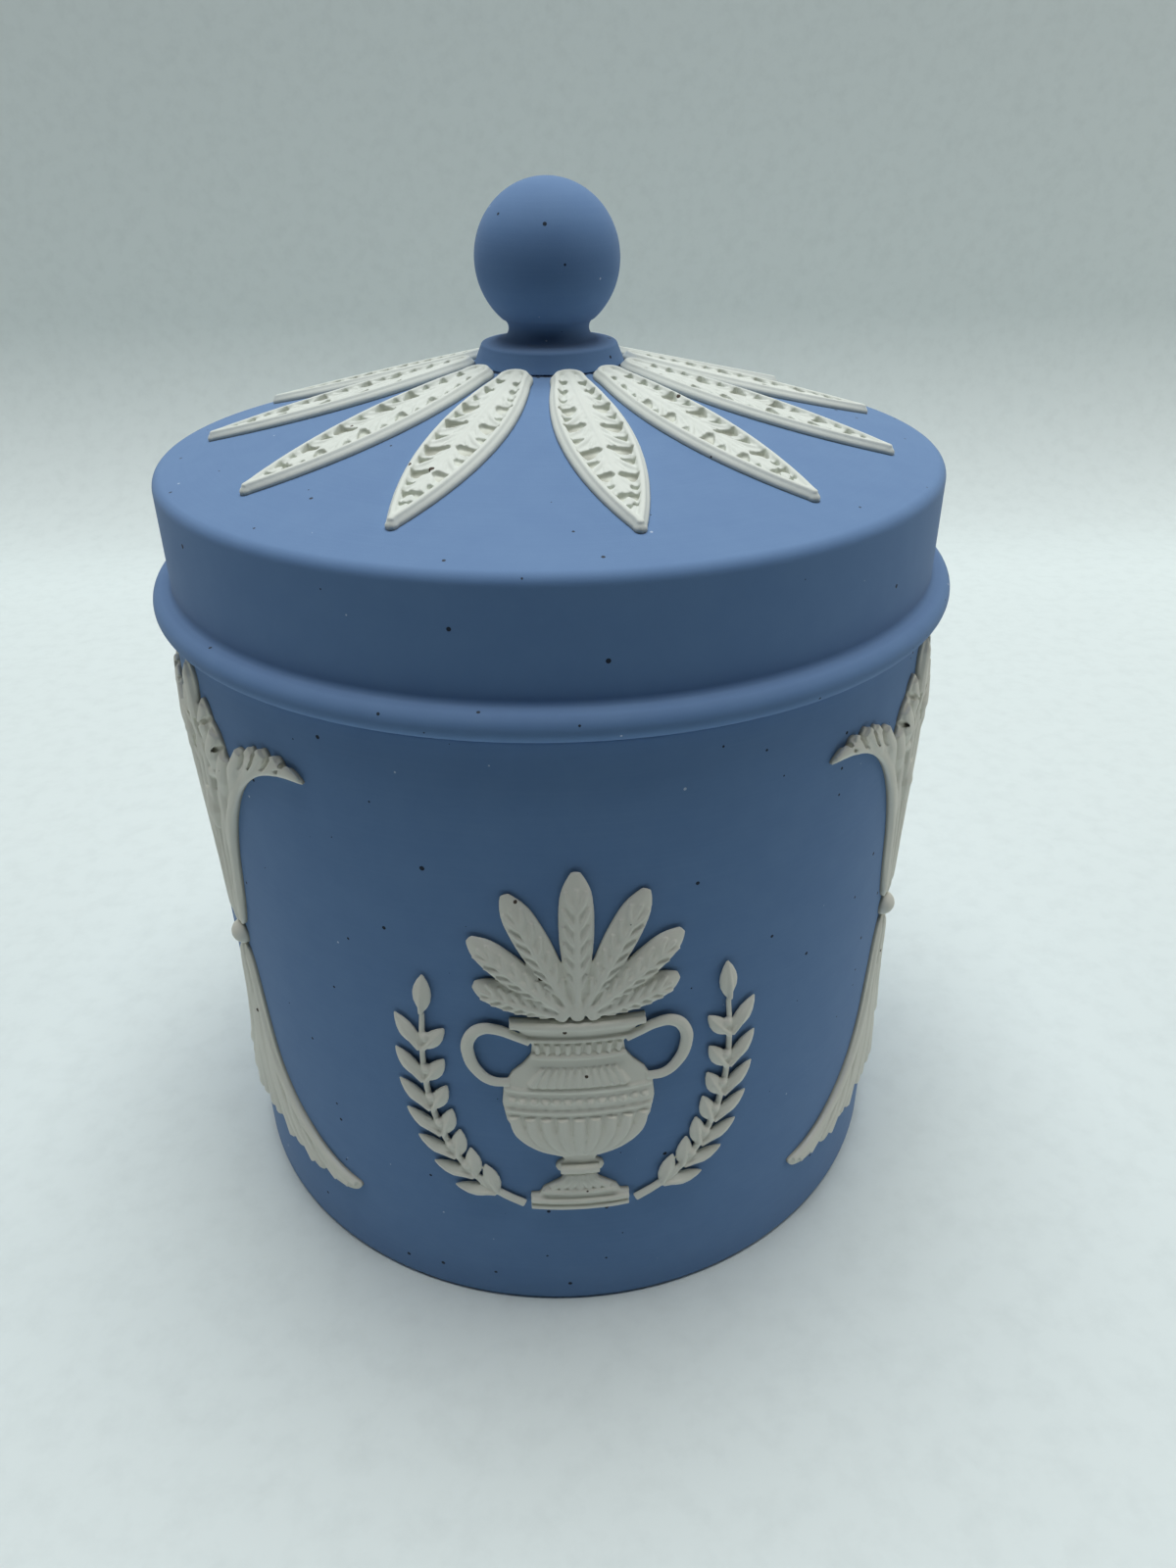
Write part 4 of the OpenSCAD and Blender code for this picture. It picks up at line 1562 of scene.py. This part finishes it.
@dataclass
class Urn(WallOrnament):
    """The panel's two-handled urn: a domed bowl on a foot, with mouldings, beads and gadroons.

    Places in its tables are shares: x of the bowl's half width, and z of the urn's height. A moulding
    is its half width, its height and its thickness. A row is how many runs stand on each side of the
    middle, and for each kind of run its path, with x for one step out, its widths and its levels, which
    follow the dome where none are given.
    """

    name: str = "moulded_urn"
    node: str = "urn"
    z: float = 20.5
    height: float = 33.0
    width: float = 9.6
    ground_t: float = 0.5
    depth: float = 0.55
    spin_steps: int = 64
    flatness: float = 0.72
    half_outline: Path = (
        (0, 1), (0.86, 1), (0.84, 0.965), (0.66, 0.93), (0.58, 0.88), (0.6, 0.83), (0.7, 0.785),
        (0.86, 0.735), (0.97, 0.665), (1, 0.58), (0.95, 0.49), (0.8, 0.4), (0.55, 0.335), (0.26, 0.3),
        (0.2, 0.275), (0.3, 0.255), (0.33, 0.235), (0.3, 0.215), (0.2, 0.2), (0.26, 0.16), (0.5, 0.11),
        (0.56, 0.075), (0.68, 0.07), (0.68, 0), (0, 0),
    )
    handle: Path = (
        (0.88, 0.69), (1.12, 0.69), (1.3, 0.735), (1.4, 0.81), (1.38, 0.89), (1.22, 0.945), (1, 0.95),
        (0.78, 0.925), (0.6, 0.9),
    )
    handle_widths: Sizes = (1.2, 1.7, 1.6, 1.1)
    handle_levels: Sizes = (0.55, 0.6, 0.6, 0.75)
    mouldings: tuple[tuple[float, float, float], ...] = (
        (0.84, 0.982, 1.3), (0.62, 0.915, 0.6), (0.6, 0.835, 0.8), (0.95, 0.66, 0.75), (0.96, 0.55, 0.75),
        (0.26, 0.235, 1.4), (0.5, 0.105, 0.7), (0.67, 0.05, 0.9), (0.67, 0.014, 0.8),
    )
    across: Sizes = (-1.0, -0.8, -0.4, 0.0, 0.4, 0.8, 1.0)
    rows: tuple[tuple[int, tuple[tuple[Path, Sizes, Sizes], ...]], ...] = (
        (4, ((((0.055, 0.32), (0.13, 0.362), (0.19, 0.43), (0.212, 0.515)), (0.7, 1.3, 1.75, 1.5), ()),
             (((0.13, 0.895), (0.125, 0.855)), (0.7,), ()))),
        (3, ((((0.05, 0.195), (0.08, 0.155), (0.13, 0.12)), (0.5, 0.9, 1.1), (0.75, 0.8, 0.7)),)),
        (5, ((((0.12, 0.685), (0.108, 0.72), (0.09, 0.775)), (1.2, 1.0, 0.4), ()),)),
    )
    beads: int = 6
    beads_to_edge: int = 7
    bead_row: float = 0.605
    bead_r: float = 0.5
    bead_lift: float = 0.05

    def swell(self, x: float) -> float:
        """The level of the domed bowl at a share of its half width."""
        return self.ground_t + self.depth * math.sqrt(max(0.0, 1 - x * x))

    def placed(self, shares: Sequence[Flat]) -> Path:
        """Turns shares into places on the board."""
        return tuple(scaled(shares, self.width, self.height, self.z))

    def run(self, shares: Sequence[Flat], widths: Sizes, levels: Sizes = ()) -> Stroke:
        """A run of clay along a path of shares, at its levels or else on the bowl's dome."""
        return Stroke(self.placed(shares), widths, levels or tuple(self.swell(x) for x, _ in shares))

    def model(self) -> Obj:
        """Models the urn flat: ground, domed body, mouldings, flutes, gadroons, beads and handles.

        Returns:
            The urn.
        """
        half = self.placed(self.half_outline)
        ground = self.plate("urn_ground", [*half, *mirrored(half[-2:0:-1])], self.ground_t)
        body = spun("urn_body", half, self.spin_steps)
        with editing(body, selected=True):
            bpy.ops.transform.resize(value=(1, self.depth / self.width, 1), center_override=(0, 0, 0))
            bpy.ops.transform.translate(value=(0, -self.ground_t * MM, 0))
        runs = [self.run([(x * a, z) for a in self.across], (w,)) for x, z, w in self.mouldings]
        for count, kinds in self.rows:
            for i in range(-count, count + 1):
                runs += [self.run([(i * x, z) for x, z in path], *sizes) for path, *sizes in kinds]
        runs += self.run(self.handle, self.handle_widths, self.handle_levels).both()
        row = [i / self.beads_to_edge for i in range(-self.beads, self.beads + 1)]
        levels = [self.swell(x) + self.bead_lift for x in row]
        beads = self.balls("urn_beads", self.placed([(x, self.bead_row) for x in row]), levels, self.bead_r)
        return join("urn_model", [ground, body, self.strokes("urn_mouldings", runs, self.flatness), beads])


@dataclass
class LeafFan(WallOrnament):
    """The fan of leaves that stands in the urn: slim leaves with veins, which spring from one knot.

    A leaf is how far it leans from upright in degrees, and its length as a share of the fan's height.
    Along a leaf, its belly and its tip are each a start and a length, and a side vein's bends are how far
    along from its root and how far out as a share of the leaf's width.
    """

    name: str = "moulded_urn_fan"
    node: str = "urn_fan"
    z: float = 53.8
    height: float = 21.5
    leaf_w: float = 4.2
    blade_level: float = 0.35
    blade_flat: float = 0.42
    blade_steps: int = 16
    blade_end: float = 0.985
    blade_crowd: float = 1.7
    belly: Flat = (0.06, 0.8)
    belly_forward: float = 1.3
    belly_full: float = 0.65
    tip: Flat = (0.8, 0.2)
    tip_round: float = 0.98
    lift: float = 0.12
    rib_lift: float = 0.1
    rib_flat: float = 0.75
    root: float = 0.06
    leaves: tuple[Flat, ...] = ((0, 1), (24, 0.93), (47, 0.8), (69, 0.62))
    midrib: Sizes = (0.35, 0.65, 0.9)
    midrib_widths: Sizes = (1.0, 0.85, 0.65, 0.4)
    vein_roots: Sizes = (0.2, 0.31, 0.42, 0.53, 0.64, 0.75)
    vein_bends: Path = ((0.07, 0.22), (0.13, 0.36))
    vein_widths: Sizes = (0.55, 0.6, 0.45)
    knot: Sizes = (-2.1, 0, 2.1)
    knot_path: Path = ((1, 0.2), (0.75, 1.6), (0.4, 3.0))
    knot_widths: Sizes = (1.7, 1.9, 0.6)
    knot_level: float = 0.7

    def leaf(self, lean: float, share: float, lift: float) -> tuple[Stroke, list[Stroke]]:
        """One leaf of the fan, as its blade and its ribs.

        Args:
            lean: How far it leans to the right of upright, in degrees.
            share: Its length, as a share of the fan's height.
            lift: How much higher it lies than the lowest leaves.

        Returns:
            The blade, and the midrib with the side veins.
        """
        a = math.radians(90 - lean)
        length = self.height * share
        start = self.root * self.height / length
        level = self.blade_level + lift

        def at(s: float, side: float = 0.0) -> Flat:
            """A place on this leaf: share s along it, and a distance to its left."""
            d = s * length
            return (d * math.cos(a) - side * math.sin(a), self.z + d * math.sin(a) + side * math.cos(a))

        def width(s: float) -> float:
            """The leaf's width at a share of its length.

            Args:
                s: The share.

            Returns:
                The width, which narrows to the root and rounds off at the tip.
            """
            reach = min(1.0, (s - start) / (1 - start))
            tip = max(0.0, (reach - self.tip[0]) / self.tip[1])
            turn = self.belly[0] + self.belly[1] * reach**self.belly_forward
            belly = math.sin(math.pi * turn) ** self.belly_full
            return self.leaf_w * belly * math.sqrt(1 - self.tip_round * tip**2)

        def rib(places: Sequence[Flat], widths: Sizes) -> Stroke:
            """A rib on the blade's surface.

            Args:
                places: For each of its points, the share along the leaf and the distance to its left.
                widths: The rib's widths.

            Returns:
                The rib.
            """
            domes = [math.sqrt(max(0.0, (width(s) / 2) ** 2 - side**2)) for s, side in places]
            levels = tuple(level + self.blade_flat * dome + self.rib_lift for dome in domes)
            return Stroke(tuple(at(*p) for p in places), widths, levels)

        spread = [1 - (1 - i / self.blade_steps) ** self.blade_crowd for i in range(self.blade_steps + 1)]
        places = [start + (self.blade_end - start) * share for share in spread]
        blade = Stroke(tuple(at(s) for s in places), tuple(width(s) for s in places), (level,))
        ribs = [rib([(s, 0.0) for s in (start, *self.midrib)], self.midrib_widths)]
        for s in self.vein_roots:
            for side in (-1, 1):
                bends = [(s + run, side * width(s + run) * out) for run, out in self.vein_bends]
                ribs.append(rib([(s, 0.0), *bends], self.vein_widths))
        return blade, ribs

    def model(self) -> Obj:
        """Models the fan flat.

        Returns:
            The fan.
        """
        blades: list[Stroke] = []
        ribs: list[Stroke] = []
        for k, (lean, share) in enumerate(self.leaves):
            blade, leaf_ribs = self.leaf(lean, share, self.lift * ((k + 1) % 2))
            blades += blade.both() if lean else [blade]
            for run in leaf_ribs:
                ribs += run.both() if lean else [run]
        for x in self.knot:
            path = tuple((x * share, self.z + up) for share, up in self.knot_path)
            ribs.append(Stroke(path, self.knot_widths, (self.knot_level,)))
        parts = [
            self.strokes("fan_leaves", blades, self.blade_flat),
            self.strokes("fan_ribs", ribs, self.rib_flat),
        ]
        return join("fan_model", parts)


@dataclass
class LaurelBranch(WallOrnament):
    """A laurel branch beside the urn, with its leaves in pairs and a berry at each pair.

    Its bends are the branch's foot, its pull and its tip, as shares of its reach and height. A leaf's
    run and its swell are each a start and a length, along the leaf and along half a wave.
    """

    name: str = "moulded_laurel_right"
    node: str = "laurel_right"
    z: float = 20.5
    reach: float = 20.5
    height: float = 35.0
    bends: Path = ((0.36, 0.015), (1.08, 0.2), (0.93, 0.92))
    twig_w: float = 1.2
    twig_taper: float = 0.6
    twig_level: float = 0.5
    pairs: int = 7
    spread: float = 36.0
    inner: float = 0.84
    leaf_l: float = 6.2
    leaf_w: float = 2.5
    leaf_flat: float = 0.48
    leaf_steps: int = 6
    leaf_run: Flat = (0.02, 0.96)
    leaf_swell: Flat = (0.04, 0.94)
    leaf_full: float = 0.85
    leaf_least: float = 0.3
    leaf_levels: Sizes = (0.45, 0.55, 0.4)
    rib: Sizes = (0.05, 0.45, 0.88)
    rib_widths: Sizes = (0.7, 0.6, 0.3)
    rib_levels: Sizes = (0.95, 1.12, 0.7)
    rib_flat: float = 0.8
    berry_r: float = 0.62
    berry_out: float = 2.5
    berry_turn: float = 12.0
    berry_level: float = 0.75

    def stem(self) -> Path:
        """Points of the branch from its foot beside the plinth to its tip.

        Returns:
            The points, one at each pair of leaves.
        """
        a, b, c = scaled(self.bends, self.reach, self.height, self.z)
        n = self.pairs + 1
        shares = [i / n for i in range(n + 1)]
        return tuple(
            tuple((1 - s) ** 2 * p + 2 * s * (1 - s) * q + s * s * r for p, q, r in zip(a, b, c))
            for s in shares
        )

    def leaf(self, foot: Flat, angle: float, size: float) -> tuple[Stroke, Stroke]:
        """One leaf and its midrib.

        Args:
            foot: The place where it leaves the branch.
            angle: The angle that it points to, in radians.
            size: Its size, as a share of the full size.

        Returns:
            The blade and the midrib.
        """
        ahead = (math.cos(angle), math.sin(angle))
        length, width = size * self.leaf_l, size**0.5 * self.leaf_w

        def at(s: float) -> Flat:
            """The place at a share of the leaf's length."""
            return (foot[0] + s * length * ahead[0], foot[1] + s * length * ahead[1])

        n = self.leaf_steps
        (start, run), (first, sweep) = self.leaf_run, self.leaf_swell
        swells = [math.sin(math.pi * (first + sweep * i / n)) ** self.leaf_full for i in range(n + 1)]
        widths = tuple(max(self.leaf_least, width * swell) for swell in swells)
        blade = Stroke(tuple(at(start + run * i / n) for i in range(n + 1)), widths, self.leaf_levels)
        return blade, Stroke(tuple(at(s) for s in self.rib), self.rib_widths, self.rib_levels)

    def model(self) -> Obj:
        """Models the right-hand branch flat.

        Returns:
            The branch.
        """
        path = self.stem()
        blades, ribs, berries = [], [], []
        n = len(path) - 1
        for i in range(1, n + 1):
            ahead, behind = path[min(i + 1, n)], path[i - 1]
            heading = math.atan2(ahead[1] - behind[1], ahead[0] - behind[0])
            for side in (0,) if i == n else (-1, 1):
                angle = heading + side * math.radians(self.spread)
                blade, rib = self.leaf(path[i], angle, self.inner if side == 1 else 1.0)
                blades.append(blade)
                ribs.append(rib)
            if 1 < i < n:
                out = heading + math.radians(self.berry_turn)
                x, z = path[i]
                berries.append((x + self.berry_out * math.cos(out), z + self.berry_out * math.sin(out)))
        ribs.append(Stroke(path, (self.twig_w, self.twig_taper * self.twig_w), (self.twig_level,)))
        parts = [
            self.strokes("laurel_leaves", blades, self.leaf_flat),
            self.strokes("laurel_ribs", ribs, self.rib_flat),
            self.balls("laurel_berries", berries, [self.berry_level] * len(berries), self.berry_r),
        ]
        return join("laurel_model", parts)


# Camera, lamps and floor


@dataclass(frozen=True)
class Lamp:
    """A square soft lamp: its place, its side and the point it faces in metres, and its power in watts."""

    name: str
    place: tuple[float, float, float]
    side: float
    power: float
    tint: str
    faces: tuple[float, float, float] = (0.0, 0.0, 0.06)

    def hang(self) -> None:
        """Hangs the lamp and turns it to the box."""
        data = bpy.data.lights.new(self.name, "AREA")
        data.size = self.side
        data.energy = self.power
        data.color = linear(self.tint)[:3]
        lamp = bpy.data.objects.new(self.name, data)
        bpy.context.scene.collection.objects.link(lamp)
        lamp.location = self.place
        aim = Vector(self.faces) - Vector(self.place)
        lamp.rotation_euler = aim.to_track_quat("-Z", "Y").to_euler()


@dataclass
class Studio:
    """The photograph's point of view, a pale sweep under the box and soft light from above."""

    distance: float = 155.19
    height: float = 146.93
    pitch: float = 30.592
    yaw: float = -1.680
    roll: float = -0.457
    lens: float = 26.1
    film_w: float = 36.0
    nearest: float = 10.0
    farthest: float = 10000.0
    floor_w: float = 1600.0
    floor_front: float = -300.0
    floor_back: float = 346.0
    rise: float = 400.0
    bend: float = 76.0
    bend_steps: int = 24
    seen_room: str = "#a3aeae"
    room_light: str = "#d0e4f4"
    room_power: float = 0.02
    lamps: tuple[Lamp, ...] = (
        Lamp("overhead", place=(0.0, 0.1, 1.6), side=1.1, power=25.2, tint="#fbfefe"),
        Lamp("right", place=(0.75, 0.1, 0.35), side=0.4, power=0.92, tint="#fff8ec"),
        Lamp("left", place=(-0.75, 0.1, 0.35), side=0.4, power=0.5, tint="#fff8ec"),
    )

    def camera(self) -> None:
        """Sets up the camera where the photograph was taken from."""
        pitch, yaw, roll = (math.radians(a) for a in (self.pitch, self.yaw, self.roll))
        ahead = Vector((-math.sin(yaw) * math.cos(pitch), math.cos(yaw) * math.cos(pitch), -math.sin(pitch)))
        right = Vector((math.cos(yaw), math.sin(yaw), 0))
        up = right.cross(ahead)
        side = right * math.cos(roll) + up * math.sin(roll)
        top = up * math.cos(roll) - right * math.sin(roll)
        data = bpy.data.cameras.new("camera")
        data.sensor_width = self.film_w
        data.lens = self.lens
        data.clip_start = self.nearest * MM
        data.clip_end = self.farthest * MM
        camera = bpy.data.objects.new("camera", data)
        bpy.context.scene.collection.objects.link(camera)
        turn = Matrix((side, top, -ahead)).transposed().to_4x4()
        place = Vector((0, -self.distance, self.height)) * MM
        camera.matrix_world = Matrix.Translation(place) @ turn
        bpy.context.scene.camera = camera

    def sweep(self) -> None:
        """Lays a pale board that rises behind the box in a soft bend."""
        bpy.ops.object.select_all(action="DESELECT")
        middle = (self.floor_front + self.floor_back) / 2
        bpy.ops.mesh.primitive_plane_add(size=MM, location=(0, middle * MM, 0))
        obj = bpy.context.object
        obj.name = "pale_floor"
        obj.scale = (self.floor_w, self.floor_back - self.floor_front, 1)
        settle(obj)
        with editing(obj):
            select_where(obj, lambda p: p.y > 0)
            bpy.ops.mesh.extrude_region_move(TRANSFORM_OT_translate={"value": (0, 0, self.rise * MM)})
            select_where(obj, lambda p: p.y > 0 and p.z < MM)
            bpy.ops.mesh.bevel(offset=self.bend * MM, segments=self.bend_steps, affect="EDGES")
        activate(obj)
        bpy.ops.object.shade_smooth()
        obj.data.materials.append(CoatedBoard().build("matt_coated_board"))

    def room(self) -> None:
        """Makes the room beyond the board: pale where it is seen, and nearly dark as a light."""
        world = bpy.data.worlds.new("room")
        bpy.context.scene.world = world
        recipe = Recipe(world)
        ray = recipe.add_node("LightPath", {})
        seen = ray["Is Camera Ray"]
        for kind in ("Is Glossy Ray", "Is Transmission Ray"):
            seen = recipe.add_node("Math", {0: seen, 1: ray[kind]}, operation="MAXIMUM")[0]
        lit = {"Color": linear(self.room_light), "Strength": self.room_power}
        shown = {"Color": linear(self.seen_room), "Strength": 1.0}
        dim, pale = (recipe.add_node("Background", sockets)[0] for sockets in (lit, shown))
        mix = recipe.add_node("MixShader", {0: seen, 1: dim, 2: pale})[0]
        recipe.add_node("OutputWorld", {"Surface": mix})

    def build(self) -> None:
        """Sets up the camera, the floor, the lamps and the room."""
        self.camera()
        self.sweep()
        for lamp in self.lamps:
            lamp.hang()
        self.room()
        bpy.context.scene.view_settings.view_transform = "Standard"


def main() -> None:
    """Builds every piece in order, then the studio."""
    logging.basicConfig(level=logging.INFO, format="%(message)s")
    bpy.ops.object.select_all(action="DESELECT")
    blue, white = BlueStoneware(), WhiteStoneware()
    for piece in (JarBody(), LidShell(), Knob()):
        piece.build(blue.build(f"lathe_turned_blue_stoneware_{piece.seat.value}", piece.seat))
    # The lid's ornaments have their own tones, and their painted hollow shade reaches less high: into the
    # pits and a thin line at the foot.
    white_lid = WhiteStoneware(
        colour="#dde2db",
        pale="#e7eae4",
        deep="#cacbbb",
        hollow_shade_band=(0.03, 0.22),
        specks=(Specks("#4c4037", cell=2.6, size=0.36, clean=0.75),),
    )
    LidLeaves().build(white_lid.build("mould_pressed_white_stoneware_lid", Seat.LID))
    on_wall = white.build("mould_pressed_white_stoneware_wall", Seat.WALL)
    left = LaurelBranch(name="moulded_laurel_left", node="laurel_left", mirror=True)
    sprigs = (AcanthusUpper(), AcanthusDrop(), AcanthusLower())
    for ornament in (*sprigs, Urn(), LeafFan(), LaurelBranch(), left):
        ornament.build(on_wall)
    Studio().build()


if __name__ == "__main__":
    main()
